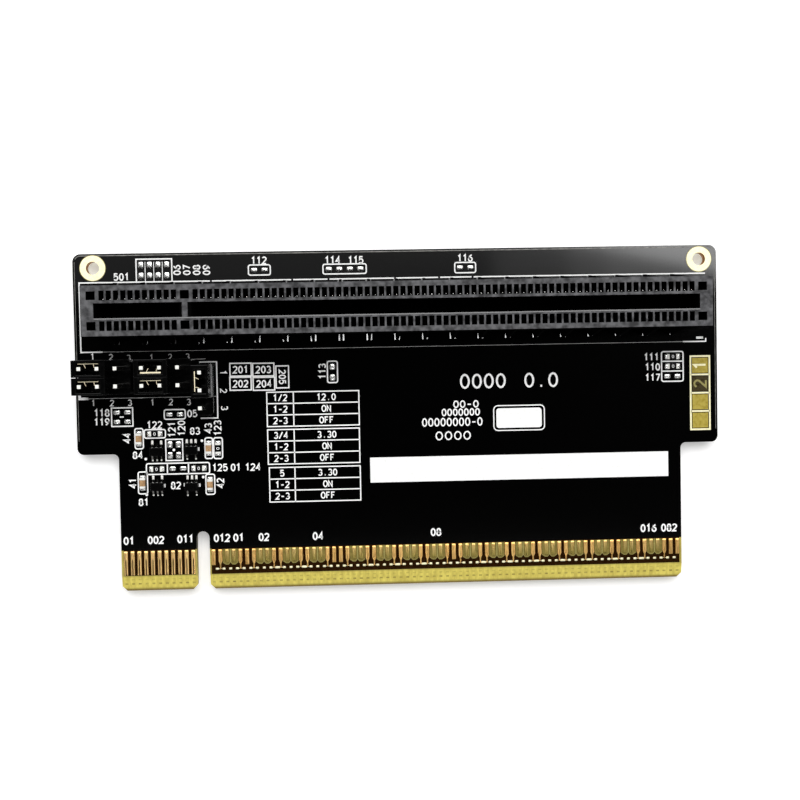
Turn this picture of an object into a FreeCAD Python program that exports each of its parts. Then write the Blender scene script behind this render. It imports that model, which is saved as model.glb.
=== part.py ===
import FreeCAD, Part
import os
import re
import Sketcher

# Riser board for a long expansion slot: a black circuit board that plugs into a slot by its lower
# edge and carries the same slot again on its component side, with jumpers and a few small chips.
# Frame: origin on the leading edge, at the middle of the key notch, on the rear face of the board.
# X runs along the fingers, Y from the leading edge to the slot, Z out of the component side.

SIZES = [
    # board outline
    ("board_thick", 1.57),
    ("board_top", 50.2),
    ("wing_bottom", 20.5),
    ("wing_left", 6.05),
    ("wing_right", 5.7),
    ("corner_round", 1.2),
    ("wing_round", 1.0),
    ("neck_round", 0.8),
    ("tab_chamfer", 0.7),
    ("key_width", 1.9),
    ("key_height", 8.7),
    ("bevel_length", 2.2),
    ("bevel_depth", 0.5),
    ("hole_radius", 1.0),
    ("hole_from_top", 2.1),
    ("hole_from_left", 2.95),
    ("hole_from_right", 2.65),
    ("copper_thick", 0.05),
    # edge fingers, counted from the key notch outwards
    ("contact_pitch", 1.0),
    ("key_to_contact", 1.5),
    ("contacts_before_key", 11),
    ("contacts_after_key", 71),
    ("finger_width", 0.65),
    ("finger_margin", 0.65),
    ("finger_top", 6.05),
    ("power_finger_length", 3.7),
    ("lane_finger_length", 2.6),
    # slot housing
    ("slot_shift", -0.45),
    ("slot_from_top", 8.9),
    ("slot_width", 7.05),
    ("slot_height", 11.25),
    ("slot_end", 2.95),
    ("slot_floor", 2.6),
    ("mouth_width", 2.1),
    ("mouth_end", 1.15),
    ("slot_key", 1.65),
    ("slot_key_taper", 0.5),
    ("slot_key_taper_height", 0.75),
    ("lip_height", 1.0),
    ("row_offset", 2.12),
    ("cell_width", 0.74),
    ("cell_length", 1.37),
    ("blind_length", 1.27),
    ("blind_width", 1.2),
    ("blind_depth", 8.0),
    ("blind_from_contact", 1.5),
    ("rib_count", 21),
    ("rib_width", 0.4),
    ("rib_drop", 0.8),
    ("rib_foot_depth", 1.1),
    # spring contacts in the slot
    ("spring_width", 0.45),
    ("spring_thick", 0.2),
    ("spring_root_gap", 0.25),
    ("spring_reach", 0.33),
    ("spring_bend_drop", 2.0),
    ("spring_tip_gap", 0.3),
    ("spring_tip_rise", 0.45),
    # solder tails on the rear face
    ("tail_width", 1.15),
    ("tail_height", 1.3),
    ("tail_inner_row", 1.25),
    ("tail_outer_row", 3.25),
    # jumper headers, placed in from the board's left side and down from the slot
    ("header_pitch", 2.54),
    ("header_height", 2.5),
    ("header_chamfer", 0.35),
    ("pin_size", 0.64),
    ("pin_height", 8.5),
    ("left_header_in", 4.79),
    ("middle_header_in", 13.57),
    ("double_header_down", 9.3),
    ("right_header_in", 19.2),
    ("right_header_down", 11.37),
    # jumper caps and the clips inside them
    ("cap_height", 6.0),
    ("cap_end_wall", 0.72),
    ("cap_side_wall", 0.35),
    ("cap_clearance", 0.08),
    ("clip_thick", 0.2),
    ("clip_gap", 0.28),
    ("clip_height", 4.6),
    ("clip_drop", 0.3),
    ("clip_tongue", 0.35),
    # chip capacitors, placed like the headers
    ("capacitor_length", 1.6),
    ("capacitor_width", 0.8),
    ("capacitor_height", 0.8),
    ("capacitor_end", 0.35),
    ("capacitor_1_in", 9.51),
    ("capacitor_1_down", 25.13),
    ("capacitor_2_in", 19.48),
    ("capacitor_2_down", 25.56),
    ("capacitor_3_in", 19.38),
    ("capacitor_3_down", 20.15),
    ("capacitor_4_in", 9.12),
    ("capacitor_4_down", 18.53),
    # chip resistors, placed like the headers, but the last two in from the right side
    ("resistor_length", 1.6),
    ("resistor_width", 0.8),
    ("resistor_height", 0.45),
    ("resistor_end", 0.3),
    ("resistor_1_in", 11.63),
    ("resistor_1_down", 23.1),
    ("resistor_2_in", 17.86),
    ("resistor_2_down", 23.1),
    ("resistor_3_in", 11.46),
    ("resistor_3_down", 17.85),
    ("resistor_4_in", 20.76),
    ("resistor_4_down", 20.2),
    ("resistor_5_in", 6.82),
    ("resistor_5_down", 7.8),
    ("resistor_6_in", 6.82),
    ("resistor_6_down", 9.25),
    # small logic chips, placed like the headers
    ("chip_length", 2.0),
    ("chip_width", 1.25),
    ("chip_height", 0.9),
    ("chip_standoff", 0.1),
    ("lead_pitch", 0.65),
    ("lead_width", 0.25),
    ("lead_thick", 0.15),
    ("lead_reach", 0.45),
    ("logic_chip_1_in", 11.7),
    ("logic_chip_1_down", 25.7),
    ("logic_chip_2_in", 16.78),
    ("logic_chip_2_down", 25.8),
    ("logic_chip_3_in", 16.8),
    ("logic_chip_3_down", 20.4),
    ("logic_chip_4_in", 11.7),
    ("logic_chip_4_down", 20.5),
]

# Places that several pieces share, as formulas of the sizes
LAST_LEFT = "(key_to_contact + (contacts_before_key - 1) * contact_pitch)"
LAST_RIGHT = "(key_to_contact + (contacts_after_key - 1) * contact_pitch)"
TAB_LEFT = f"(0 - {LAST_LEFT} - finger_margin)"
TAB_RIGHT = f"({LAST_RIGHT} + finger_margin)"
BOARD_LEFT = f"({TAB_LEFT} - wing_left)"
BOARD_RIGHT = f"({TAB_RIGHT} + wing_right)"
SLOT_MIDDLE = "(board_top - slot_from_top)"
SLOT_FIRST = f"(slot_shift - {LAST_LEFT})"
SLOT_LAST = f"(slot_shift + {LAST_RIGHT})"
SLOT_TOP = "(board_thick + slot_height)"
LIP_BOTTOM = f"({SLOT_TOP} - lip_height)"
CELL_INNER = "(row_offset - cell_length / 2)"
CELL_OUTER = "(row_offset + cell_length / 2)"
LEFT_HEADER = f"({BOARD_LEFT} + left_header_in)"
MIDDLE_HEADER = f"({BOARD_LEFT} + middle_header_in)"
DOUBLE_HEADER_LINE = f"({SLOT_MIDDLE} - double_header_down)"
RIGHT_HEADER = f"({BOARD_LEFT} + right_header_in)"
RIGHT_HEADER_LINE = f"({SLOT_MIDDLE} - right_header_down)"
CAVITY_HALF_LENGTH = "(header_pitch / 2 + pin_size / 2 + cap_clearance)"
CAVITY_HALF_WIDTH = "(pin_size / 2 + clip_gap + clip_thick + cap_clearance)"

doc = FreeCAD.newDocument("RiserBoard")
sheet = doc.addObject("Spreadsheet::Sheet", "Sizes")
for row, (alias, value) in enumerate(SIZES, start=1):
    sheet.set(f"A{row}", str(value))
    sheet.setAlias(f"A{row}", alias)
doc.recompute()

subparts = []


# Turns a formula of size names into an expression on the sheet
def bound(formula):
    return re.sub(r"[a-z][a-z_0-9]*", lambda word: f"Sizes.{word.group()}", str(formula))


def number(formula):
    return float(sheet.evalExpression(bound(formula)))


def new_body(label):
    body = doc.addObject("PartDesign::Body", label)
    body.Label = label
    subparts.append(body)
    return body


def origin_feature(body, role):
    return next(item for item in body.Origin.OriginFeatures if item.Role == role)


# A sketch of closed outlines whose corners are pinned to formulas
def outline_sketch(body, name, outlines, plane="XY_Plane", offset="0"):
    sketch = body.newObject("Sketcher::SketchObject", name)
    sketch.AttachmentSupport = [(origin_feature(body, plane), "")]
    sketch.MapMode = "FlatFace"
    sketch.setExpression("AttachmentOffset.Base.z", bound(offset))
    for corners in outlines:
        first = sketch.GeometryCount
        spots = [FreeCAD.Vector(number(x), number(y), 0) for x, y in corners]
        count = len(spots)
        for i in range(count):
            sketch.addGeometry(Part.LineSegment(spots[i], spots[(i + 1) % count]))
        for i in range(count):
            sketch.addConstraint(Sketcher.Constraint("Coincident", first + i, 2, first + (i + 1) % count, 1))
        for i, (x, y) in enumerate(corners):
            pin_point(sketch, first + i, 1, x, y)
    return sketch


def pin_point(sketch, geometry, point, x, y):
    across = sketch.addConstraint(Sketcher.Constraint("DistanceX", -1, 1, geometry, point, number(x)))
    sketch.setExpression(f"Constraints[{across}]", bound(x))
    along = sketch.addConstraint(Sketcher.Constraint("DistanceY", -1, 1, geometry, point, number(y)))
    sketch.setExpression(f"Constraints[{along}]", bound(y))


def box_outline(x, y, length, width):
    left = f"{x} - ({length}) / 2"
    right = f"{x} + ({length}) / 2"
    low = f"{y} - ({width}) / 2"
    high = f"{y} + ({width}) / 2"
    return [(left, low), (right, low), (right, high), (left, high)]


def mirrored(outline):
    return [(f"0 - ({x})", y) for x, y in outline]


def pad(body, name, sketch, length, reverse=False):
    feature = body.newObject("PartDesign::Pad", name)
    feature.Profile = sketch
    feature.setExpression("Length", bound(length))
    feature.Reversed = reverse
    body.Tip = feature
    return feature


# A cut of a given depth, or right through both ways where no depth is given
def pocket(body, name, sketch, depth=None):
    feature = body.newObject("PartDesign::Pocket", name)
    feature.Profile = sketch
    if depth is None:
        feature.Type = "ThroughAll"
        feature.Midplane = True
    else:
        feature.setExpression("Length", bound(depth))
    body.Tip = feature
    return feature


def repeat(body, name, feature, spacing, count, axis="X_Axis"):
    pattern = body.newObject("PartDesign::LinearPattern", name)
    pattern.Originals = [feature]
    pattern.Direction = (origin_feature(body, axis), [""])
    pattern.setExpression("Length", bound(f"({spacing}) * ({count} - 1)"))
    pattern.setExpression("Occurrences", bound(count))
    body.Tip = pattern
    return pattern


# Rounds the upright edges that stand at the given corners
def round_corners(body, name, base, corners, radius):
    doc.recompute()
    wanted = [(number(x), number(y)) for x, y in corners]
    edges = []
    for index, edge in enumerate(base.Shape.Edges, start=1):
        low = edge.Vertexes[0].Point
        high = edge.Vertexes[-1].Point
        upright = abs(low.x - high.x) + abs(low.y - high.y) < 1e-6
        if upright and any(abs(low.x - x) + abs(low.y - y) < 1e-4 for x, y in wanted):
            edges.append(f"Edge{index}")
    feature = body.newObject("PartDesign::Fillet", name)
    feature.Base = (base, edges)
    feature.setExpression("Radius", bound(radius))
    body.Tip = feature
    return feature


def place(body, x, y, z, turn=0):
    upright = FreeCAD.Vector(0, 0, 1)
    body.Placement = FreeCAD.Placement(FreeCAD.Vector(0, 0, 0), FreeCAD.Rotation(upright, turn))
    body.setExpression("Placement.Base.x", bound(x))
    body.setExpression("Placement.Base.y", bound(y))
    body.setExpression("Placement.Base.z", bound(z))


# Circuit board: wings at the top, a tab with a key notch and bevelled leading edge below
def circuit_board():
    body = new_body("circuit_board")
    wing_corners = [(BOARD_RIGHT, "wing_bottom"), (BOARD_LEFT, "wing_bottom")]
    top_corners = [(BOARD_RIGHT, "board_top"), (BOARD_LEFT, "board_top")]
    neck_corners = [(TAB_RIGHT, "wing_bottom"), (TAB_LEFT, "wing_bottom")]
    outline = [
        (f"{TAB_LEFT} + tab_chamfer", "0"),
        (f"{TAB_RIGHT} - tab_chamfer", "0"),
        (TAB_RIGHT, "tab_chamfer"),
        neck_corners[0],
        wing_corners[0],
        top_corners[0],
        top_corners[1],
        wing_corners[1],
        neck_corners[1],
        (TAB_LEFT, "tab_chamfer"),
    ]
    plate = pad(body, "plate", outline_sketch(body, "plate_outline", [outline]), "board_thick")
    base = round_corners(body, "top_rounds", plate, top_corners, "corner_round")
    base = round_corners(body, "wing_rounds", base, wing_corners, "wing_round")
    round_corners(body, "neck_rounds", base, neck_corners, "neck_round")
    pocket(body, "key_notch", key_sketch(body))
    pocket(body, "mounting_holes", hole_sketch(body))
    front = [("0", "board_thick - bevel_depth"), ("bevel_length", "board_thick"), ("0", "board_thick")]
    rear = [("0", "0"), ("bevel_length", "0"), ("0", "bevel_depth")]
    pocket(body, "edge_bevels", outline_sketch(body, "bevel_outline", [front, rear], "YZ_Plane"))


# The key notch: a flared mouth, straight sides and a round end
def key_sketch(body):
    half = "key_width / 2"
    spring = "key_height - key_width / 2"
    corners = [
        (f"0 - {half}", spring),
        (f"0 - {half}", "tab_chamfer"),
        (f"0 - {half} - tab_chamfer", "0"),
        (f"{half} + tab_chamfer", "0"),
        (half, "tab_chamfer"),
        (half, spring),
    ]
    sketch = body.newObject("Sketcher::SketchObject", "key_outline")
    sketch.AttachmentSupport = [(origin_feature(body, "XY_Plane"), "")]
    sketch.MapMode = "FlatFace"
    spots = [FreeCAD.Vector(number(x), number(y), 0) for x, y in corners]
    sides = len(spots) - 1
    for i in range(sides):
        sketch.addGeometry(Part.LineSegment(spots[i], spots[i + 1]))
    crown = FreeCAD.Vector(0, number("key_height"), 0)
    sketch.addGeometry(Part.Arc(spots[sides], crown, spots[0]))
    for i in range(sides - 1):
        sketch.addConstraint(Sketcher.Constraint("Coincident", i, 2, i + 1, 1))
    sketch.addConstraint(Sketcher.Constraint("Coincident", sides - 1, 2, sides, 1))
    sketch.addConstraint(Sketcher.Constraint("Tangent", sides, 2, 0, 1))
    for i in range(sides):
        pin_point(sketch, i, 1, *corners[i])
    pin_point(sketch, sides - 1, 2, *corners[sides])
    return sketch


# The two mounting holes near the top corners
def hole_sketch(body):
    sketch = body.newObject("Sketcher::SketchObject", "hole_outline")
    sketch.AttachmentSupport = [(origin_feature(body, "XY_Plane"), "")]
    sketch.MapMode = "FlatFace"
    y = "board_top - hole_from_top"
    for index, x in enumerate((f"{BOARD_LEFT} + hole_from_left", f"{BOARD_RIGHT} - hole_from_right")):
        middle = FreeCAD.Vector(number(x), number(y), 0)
        sketch.addGeometry(Part.Circle(middle, FreeCAD.Vector(0, 0, 1), number("hole_radius")))
        radius = sketch.addConstraint(Sketcher.Constraint("Radius", index, number("hole_radius")))
        sketch.setExpression(f"Constraints[{radius}]", bound("hole_radius"))
        pin_point(sketch, index, 3, x, y)
    return sketch


# Gold fingers on one face: short and long groups on each side of the key notch
def edge_contacts(label, face, reverse):
    body = new_body(label)
    groups = [
        ("power", f"0 - {LAST_LEFT}", "power_finger_length", "contacts_before_key"),
        ("lane", "key_to_contact", "lane_finger_length", "contacts_after_key"),
    ]
    for name, first_x, length, count in groups:
        outline = box_outline(first_x, f"finger_top - {length} / 2", "finger_width", length)
        sketch = outline_sketch(body, f"{name}_outline", [outline], offset=face)
        finger = pad(body, f"{name}_finger", sketch, "copper_thick", reverse)
        repeat(body, f"{name}_fingers", finger, "contact_pitch", count)


# Slot housing: a moulded block with a keyed mouth, two rows of contact cells and ribbed walls
def slot_housing():
    body = new_body("slot_housing")
    left = f"{SLOT_FIRST} - slot_end"
    right = f"{SLOT_LAST} + slot_end"
    block = box_outline(f"({left} + {right}) / 2", SLOT_MIDDLE, f"{right} - ({left})", "slot_width")
    pad(body, "block", outline_sketch(body, "block_outline", [block], offset="board_thick"), "slot_height")
    slot_ribs(body)
    mouth_depth = "slot_height - slot_floor"
    mouth = outline_sketch(body, "mouth_outline", mouth_outlines("mouth_width / 2"), offset=SLOT_TOP)
    pocket(body, "mouth", mouth, mouth_depth)
    undercut = outline_sketch(body, "undercut_outline", mouth_outlines(CELL_INNER), offset=LIP_BOTTOM)
    pocket(body, "undercut", undercut, f"{mouth_depth} - lip_height")
    key_left = "slot_shift - slot_key / 2"
    key_right = "slot_shift + slot_key / 2"
    key_low = f"{SLOT_TOP} - slot_key_taper_height"
    tapers = [
        [(key_left, SLOT_TOP), (key_left, key_low), (f"{key_left} + slot_key_taper", SLOT_TOP)],
        [(key_right, SLOT_TOP), (f"{key_right} - slot_key_taper", SLOT_TOP), (key_right, key_low)],
    ]
    taper_start = f"mouth_width / 2 - {SLOT_MIDDLE}"
    taper = outline_sketch(body, "taper_outline", tapers, "XZ_Plane", taper_start)
    pocket(body, "key_taper", taper, "mouth_width")
    blinds = []
    for x in (f"{SLOT_FIRST} - blind_from_contact", "slot_shift", f"{SLOT_LAST} + blind_from_contact"):
        for y in (f"{SLOT_MIDDLE} - row_offset", f"{SLOT_MIDDLE} + row_offset"):
            blinds.append(box_outline(x, y, "blind_length", "blind_width"))
    pocket(body, "blinds", outline_sketch(body, "blind_outline", blinds, offset=SLOT_TOP), "blind_depth")
    groups = [
        ("short", SLOT_FIRST, "contacts_before_key"),
        ("long", "slot_shift + key_to_contact", "contacts_after_key"),
    ]
    for name, first_x, count in groups:
        pair = [
            box_outline(first_x, f"{SLOT_MIDDLE} - row_offset", "cell_width", "cell_length"),
            box_outline(first_x, f"{SLOT_MIDDLE} + row_offset", "cell_width", "cell_length"),
        ]
        sketch = outline_sketch(body, f"{name}_cell_outline", pair, offset=SLOT_TOP)
        cells = pocket(body, f"{name}_cell", sketch, mouth_depth)
        repeat(body, f"{name}_cells", cells, "contact_pitch", count)


# The two compartments of the mouth, one on each side of the key
def mouth_outlines(half_width):
    low = f"{SLOT_MIDDLE} - {half_width}"
    high = f"{SLOT_MIDDLE} + {half_width}"
    spans = [
        (f"{SLOT_FIRST} - mouth_end", "slot_shift - slot_key / 2"),
        ("slot_shift + slot_key / 2", f"{SLOT_LAST} + mouth_end"),
    ]
    return [[(start, low), (end, low), (end, high), (start, high)] for start, end in spans]


# Buttress ribs on both long walls, each sloping out to a foot on the board
def slot_ribs(body):
    wall = "slot_width / 2"
    profile = [
        (wall, "board_thick"),
        (f"{wall} + rib_foot_depth", "board_thick"),
        (wall, f"{SLOT_TOP} - rib_drop"),
    ]
    sides = [
        [(f"{SLOT_MIDDLE} + {y}", z) for y, z in profile],
        [(f"{SLOT_MIDDLE} - ({y})", z) for y, z in profile],
    ]
    sketch = outline_sketch(body, "rib_outline", sides, "YZ_Plane", f"{SLOT_FIRST} - rib_width / 2")
    rib = pad(body, "rib", sketch, "rib_width")
    repeat(body, "ribs", rib, f"({SLOT_LAST} - {SLOT_FIRST}) / (rib_count - 1)", "rib_count")


# One row of spring contacts: each leans from its root into the mouth and bends back behind the lip
def slot_contacts(label, side):
    body = new_body(label)
    bend_in = "(mouth_width / 2 - spring_reach)"
    bend_z = f"{LIP_BOTTOM} - spring_bend_drop"
    profile = [
        (f"{CELL_OUTER} - spring_root_gap", "board_thick + slot_floor"),
        (f"{bend_in} + spring_thick", bend_z),
        (f"{CELL_INNER} + spring_tip_gap", f"{LIP_BOTTOM} + spring_tip_rise"),
        (bend_in, bend_z),
    ]
    outline = [(f"{SLOT_MIDDLE} {side} ({y})", z) for y, z in profile]
    groups = [
        ("short", SLOT_FIRST, "contacts_before_key"),
        ("long", "slot_shift + key_to_contact", "contacts_after_key"),
    ]
    for name, first_x, count in groups:
        start = f"{first_x} - spring_width / 2"
        sketch = outline_sketch(body, f"{name}_outline", [outline], "YZ_Plane", start)
        spring = pad(body, f"{name}_spring", sketch, "spring_width")
        repeat(body, f"{name}_springs", spring, "contact_pitch", count)


# A soldered tail on the rear face: a four-sided cone, wide on the board
def tail_shape(x, y):
    half = number("tail_width") / 2
    corners = [(-half, -half), (half, -half), (half, half), (-half, half)]
    base = [FreeCAD.Vector(x + dx, y + dy, 0) for dx, dy in corners]
    tip = FreeCAD.Vector(x, y, -number("tail_height"))
    faces = [Part.Face(Part.makePolygon(base + base[:1]))]
    for i in range(4):
        faces.append(Part.Face(Part.makePolygon([base[i], base[(i + 1) % 4], tip, base[i]])))
    return Part.Solid(Part.Shell(faces))


def solder_tails(label, places):
    feature = doc.addObject("Part::Feature", label)
    feature.Label = label
    feature.Shape = Part.makeCompound([tail_shape(x, y) for x, y in places])
    feature.Placement = FreeCAD.Placement()
    subparts.append(feature)


# Slot tails stand in four staggered rows, two for each row of contacts
def slot_tail_places():
    places = []
    starts = [(SLOT_FIRST, "contacts_before_key"), ("slot_shift + key_to_contact", "contacts_after_key")]
    for first_x, count in starts:
        for i in range(round(number(count))):
            x = number(first_x) + i * number("contact_pitch")
            upper, lower = ("tail_inner_row", "tail_outer_row")
            if i % 2 == 0:
                upper, lower = lower, upper
            places.append((x, number(f"{SLOT_MIDDLE} + {upper}")))
            places.append((x, number(f"{SLOT_MIDDLE} - {lower}")))
    return places


HEADERS = [
    ("left", 3, 2, LEFT_HEADER, DOUBLE_HEADER_LINE, 0),
    ("middle", 3, 2, MIDDLE_HEADER, DOUBLE_HEADER_LINE, 0),
    ("right", 3, 1, RIGHT_HEADER, RIGHT_HEADER_LINE, -90),
]


# Pin places of a header block, about its own middle
def pin_places(columns, rows):
    places = []
    for column in range(columns):
        for row in range(rows):
            x = f"({column} - ({columns} - 1) / 2) * header_pitch"
            y = f"({row} - ({rows} - 1) / 2) * header_pitch"
            places.append((x, y))
    return places


# Outline of a header block about its own middle, with its four corners cut off
def header_outline(columns, rows):
    half_length = f"({columns} * header_pitch / 2)"
    half_width = f"({rows} * header_pitch / 2)"
    return [
        (f"header_chamfer - {half_length}", f"0 - {half_width}"),
        (f"{half_length} - header_chamfer", f"0 - {half_width}"),
        (half_length, f"header_chamfer - {half_width}"),
        (half_length, f"{half_width} - header_chamfer"),
        (f"{half_length} - header_chamfer", half_width),
        (f"header_chamfer - {half_length}", half_width),
        (f"0 - {half_length}", f"{half_width} - header_chamfer"),
        (f"0 - {half_length}", f"header_chamfer - {half_width}"),
    ]


def jumper_header(name, columns, rows, x, y, turn):
    base = new_body(f"jumper_header_{name}_base")
    holes = [box_outline(*spot, "pin_size", "pin_size") for spot in pin_places(columns, rows)]
    outlines = [header_outline(columns, rows)] + holes
    pad(base, "base", outline_sketch(base, "base_outline", outlines), "header_height")
    place(base, x, y, "board_thick", turn)
    pins = new_body(f"jumper_header_{name}_pins")
    pad(pins, "pins", outline_sketch(pins, "pin_outline", holes), "pin_height")
    place(pins, x, y, "board_thick", turn)


def header_tail_places():
    places = []
    for name, columns, rows, x, y, turn in HEADERS:
        for across, along in pin_places(columns, rows):
            spot = FreeCAD.Vector(number(across), number(along), 0)
            spot = FreeCAD.Rotation(FreeCAD.Vector(0, 0, 1), turn).multVec(spot)
            places.append((number(x) + spot.x, number(y) + spot.y))
    return places


# A jumper cap: an open-topped sleeve over two pins, with a strip along one inner wall whose two
# tongues press on the pins
def jumper_cap(index, x, y, turn):
    cap = new_body(f"jumper_cap_{index}")
    length = f"2 * {CAVITY_HALF_LENGTH}"
    width = f"2 * {CAVITY_HALF_WIDTH}"
    shell = box_outline("0", "0", f"{length} + 2 * cap_end_wall", f"{width} + 2 * cap_side_wall")
    cavity = box_outline("0", "0", length, width)
    pad(cap, "sleeve", outline_sketch(cap, "sleeve_outline", [shell, cavity]), "cap_height")
    place(cap, x, y, "board_thick + header_height", turn)
    clip = new_body(f"jumper_clip_{index}")
    end = "(header_pitch / 2 + pin_size / 2)"
    pin_face = "(header_pitch / 2 - pin_size / 2)"
    tongue = f"({pin_face} - clip_tongue)"
    bar = "(pin_size / 2 + clip_gap)"
    strip = [
        (f"0 - {end}", bar),
        (f"0 - {pin_face}", bar),
        (f"0 - {pin_face}", "0"),
        (f"0 - {tongue}", bar),
        (tongue, bar),
        (pin_face, "0"),
        (pin_face, bar),
        (end, bar),
        (end, f"{bar} + clip_thick"),
        (f"0 - {end}", f"{bar} + clip_thick"),
    ]
    pad(clip, "strip", outline_sketch(clip, "strip_outline", [strip]), "clip_height")
    clip_floor = "board_thick + header_height + cap_height - clip_drop - clip_height"
    place(clip, x, y, clip_floor, turn)


# A chip part of either kind: a body between two metal ends
def chip_part(kind, index, turn, x):
    length = f"{kind}_length"
    end = f"{kind}_end"
    end_x = f"({length} - {end}) / 2"
    middle = new_body(f"{kind}_{index}_body")
    core = box_outline("0", "0", f"{length} - 2 * {end}", f"{kind}_width")
    pad(middle, "core", outline_sketch(middle, "core_outline", [core]), f"{kind}_height")
    ends = new_body(f"{kind}_{index}_ends")
    pair = [box_outline(spot, "0", end, f"{kind}_width") for spot in (f"0 - {end_x}", end_x)]
    pad(ends, "ends", outline_sketch(ends, "end_outline", pair), f"{kind}_height")
    for body in (middle, ends):
        place(body, x, f"{SLOT_MIDDLE} - {kind}_{index}_down", "board_thick", turn)


# A small logic chip: moulded body between soldered leads, three above and two or three below
def logic_chip(index, lower_leads):
    body = new_body(f"logic_chip_{index}_body")
    block = box_outline("0", "0", "chip_length", "chip_width")
    sketch = outline_sketch(body, "block_outline", [block], offset="chip_standoff")
    pad(body, "block", sketch, "chip_height")
    leads = new_body(f"logic_chip_{index}_leads")
    wall = "chip_width / 2"
    shoulder = "(chip_standoff + chip_height / 2)"
    profile = [
        (wall, "0"),
        (f"{wall} + lead_reach", "0"),
        (f"{wall} + lead_reach", "lead_thick"),
        (wall, shoulder),
    ]
    rows = [("upper", profile, 3, "lead_pitch"), ("lower", mirrored(profile), lower_leads, "lead_pitch")]
    for name, outline, count, spacing in rows:
        step = spacing if count == 3 else f"2 * {spacing}"
        start = "0 - lead_pitch - lead_width / 2"
        sketch = outline_sketch(leads, f"{name}_outline", [outline], "YZ_Plane", start)
        lead = pad(leads, f"{name}_lead", sketch, "lead_width")
        repeat(leads, f"{name}_leads", lead, step, str(count))
    for piece in (body, leads):
        x = f"{BOARD_LEFT} + logic_chip_{index}_in"
        place(piece, x, f"{SLOT_MIDDLE} - logic_chip_{index}_down", "board_thick")


circuit_board()
edge_contacts("edge_contacts_front", "board_thick", False)
edge_contacts("edge_contacts_rear", "0", True)
slot_housing()
slot_contacts("slot_contacts_upper", "+")
slot_contacts("slot_contacts_lower", "-")
solder_tails("slot_solder_tails", slot_tail_places())
for header in HEADERS:
    jumper_header(*header)
solder_tails("header_solder_tails", header_tail_places())

upper_row = f"{DOUBLE_HEADER_LINE} + header_pitch / 2"
lower_row = f"{DOUBLE_HEADER_LINE} - header_pitch / 2"
CAPS = [
    (f"{LEFT_HEADER} - header_pitch / 2", upper_row, 0),
    (f"{LEFT_HEADER} - header_pitch / 2", lower_row, 0),
    (f"{MIDDLE_HEADER} - header_pitch / 2", upper_row, 180),
    (f"{MIDDLE_HEADER} - header_pitch / 2", lower_row, 0),
    (RIGHT_HEADER, f"{RIGHT_HEADER_LINE} + header_pitch / 2", 90),
]
for index, (x, y, turn) in enumerate(CAPS, start=1):
    jumper_cap(index, x, y, turn)
for index in range(1, 5):
    chip_part("capacitor", index, 90, f"{BOARD_LEFT} + capacitor_{index}_in")
for index, turn in enumerate((0, 0, 0, 90), start=1):
    chip_part("resistor", index, turn, f"{BOARD_LEFT} + resistor_{index}_in")
for index in (5, 6):
    chip_part("resistor", index, 0, f"{BOARD_RIGHT} - resistor_{index}_in")
for index, lower_leads in enumerate((3, 2, 2, 3), start=1):
    logic_chip(index, lower_leads)

doc.recompute()
for item in doc.Objects:
    if "Invalid" in item.State or "Error" in item.State:
        raise RuntimeError(f"{item.Label} failed: {item.State}")
for item in subparts:
    if item.Shape.isNull() or not item.Shape.isValid() or not item.Shape.Solids:
        raise RuntimeError(f"{item.Label} has no valid solid")

os.makedirs("parts", exist_ok=True)
for item in subparts:
    item.Shape.exportStep(f"parts/{item.Label}.step")
    print(item.Label, len(item.Shape.Solids), "solids", round(item.Shape.Volume, 3), "mm3")
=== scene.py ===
import functools
import math

import bmesh
import bpy
from mathutils import Matrix, Vector


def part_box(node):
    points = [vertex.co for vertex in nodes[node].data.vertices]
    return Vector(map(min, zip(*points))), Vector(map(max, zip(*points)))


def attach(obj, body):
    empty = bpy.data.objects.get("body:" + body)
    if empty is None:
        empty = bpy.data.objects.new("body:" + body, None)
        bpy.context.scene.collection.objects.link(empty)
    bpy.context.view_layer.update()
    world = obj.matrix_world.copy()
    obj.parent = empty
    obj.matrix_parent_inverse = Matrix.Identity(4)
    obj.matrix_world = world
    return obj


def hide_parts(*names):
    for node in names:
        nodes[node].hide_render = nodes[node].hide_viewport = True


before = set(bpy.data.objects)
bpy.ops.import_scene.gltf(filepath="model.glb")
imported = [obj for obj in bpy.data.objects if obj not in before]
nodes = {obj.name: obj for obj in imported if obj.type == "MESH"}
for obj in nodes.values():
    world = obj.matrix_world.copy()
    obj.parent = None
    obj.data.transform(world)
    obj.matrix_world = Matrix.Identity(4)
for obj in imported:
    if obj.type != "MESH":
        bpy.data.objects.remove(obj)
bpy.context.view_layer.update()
scene = bpy.context.scene
millimetre = 0.001
perMetre = 1000
# everything below is in millimetres until a mesh is made
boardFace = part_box("circuit_board")[1].z / millimetre
sunk = boardFace - 0.01     # thin trim starts just under the board's face
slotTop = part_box("slot_housing")[1].z / millimetre
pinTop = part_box("jumper_header_left_pins")[1].z / millimetre
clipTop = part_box("jumper_clip_1")[1].z / millimetre
print("frame loaded:", len(nodes), "nodes")


def linear(colour):
    # "#rrggbb" as the eye sees it, to the linear values that a shader takes
    parts = [int(colour[i:i + 2], 16) / 255 for i in (1, 3, 5)]
    return [p / 12.92 if p <= 0.04045 else ((p + 0.055) / 1.055) ** 2.4 for p in parts] + [1.0]


def addNode(tree, kind, inputs=None, output=0, **settings):
    # gives back one output, or all of them when output is None
    node = tree.nodes.new("ShaderNode" + kind)
    for name, value in settings.items():
        setattr(node, name, value)
    for socket, value in (inputs or {}).items():
        if isinstance(value, bpy.types.NodeSocket):
            tree.links.new(value, node.inputs[socket])
        else:
            node.inputs[socket].default_value = value
    return node.outputs if output is None else node.outputs[output]


def newMaterial(name):
    material = bpy.data.materials.new(name)
    material.use_nodes = True
    material.node_tree.nodes.clear()
    add = functools.partial(addNode, material.node_tree)
    return material, add, add("TexCoord", None, "Object")


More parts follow.
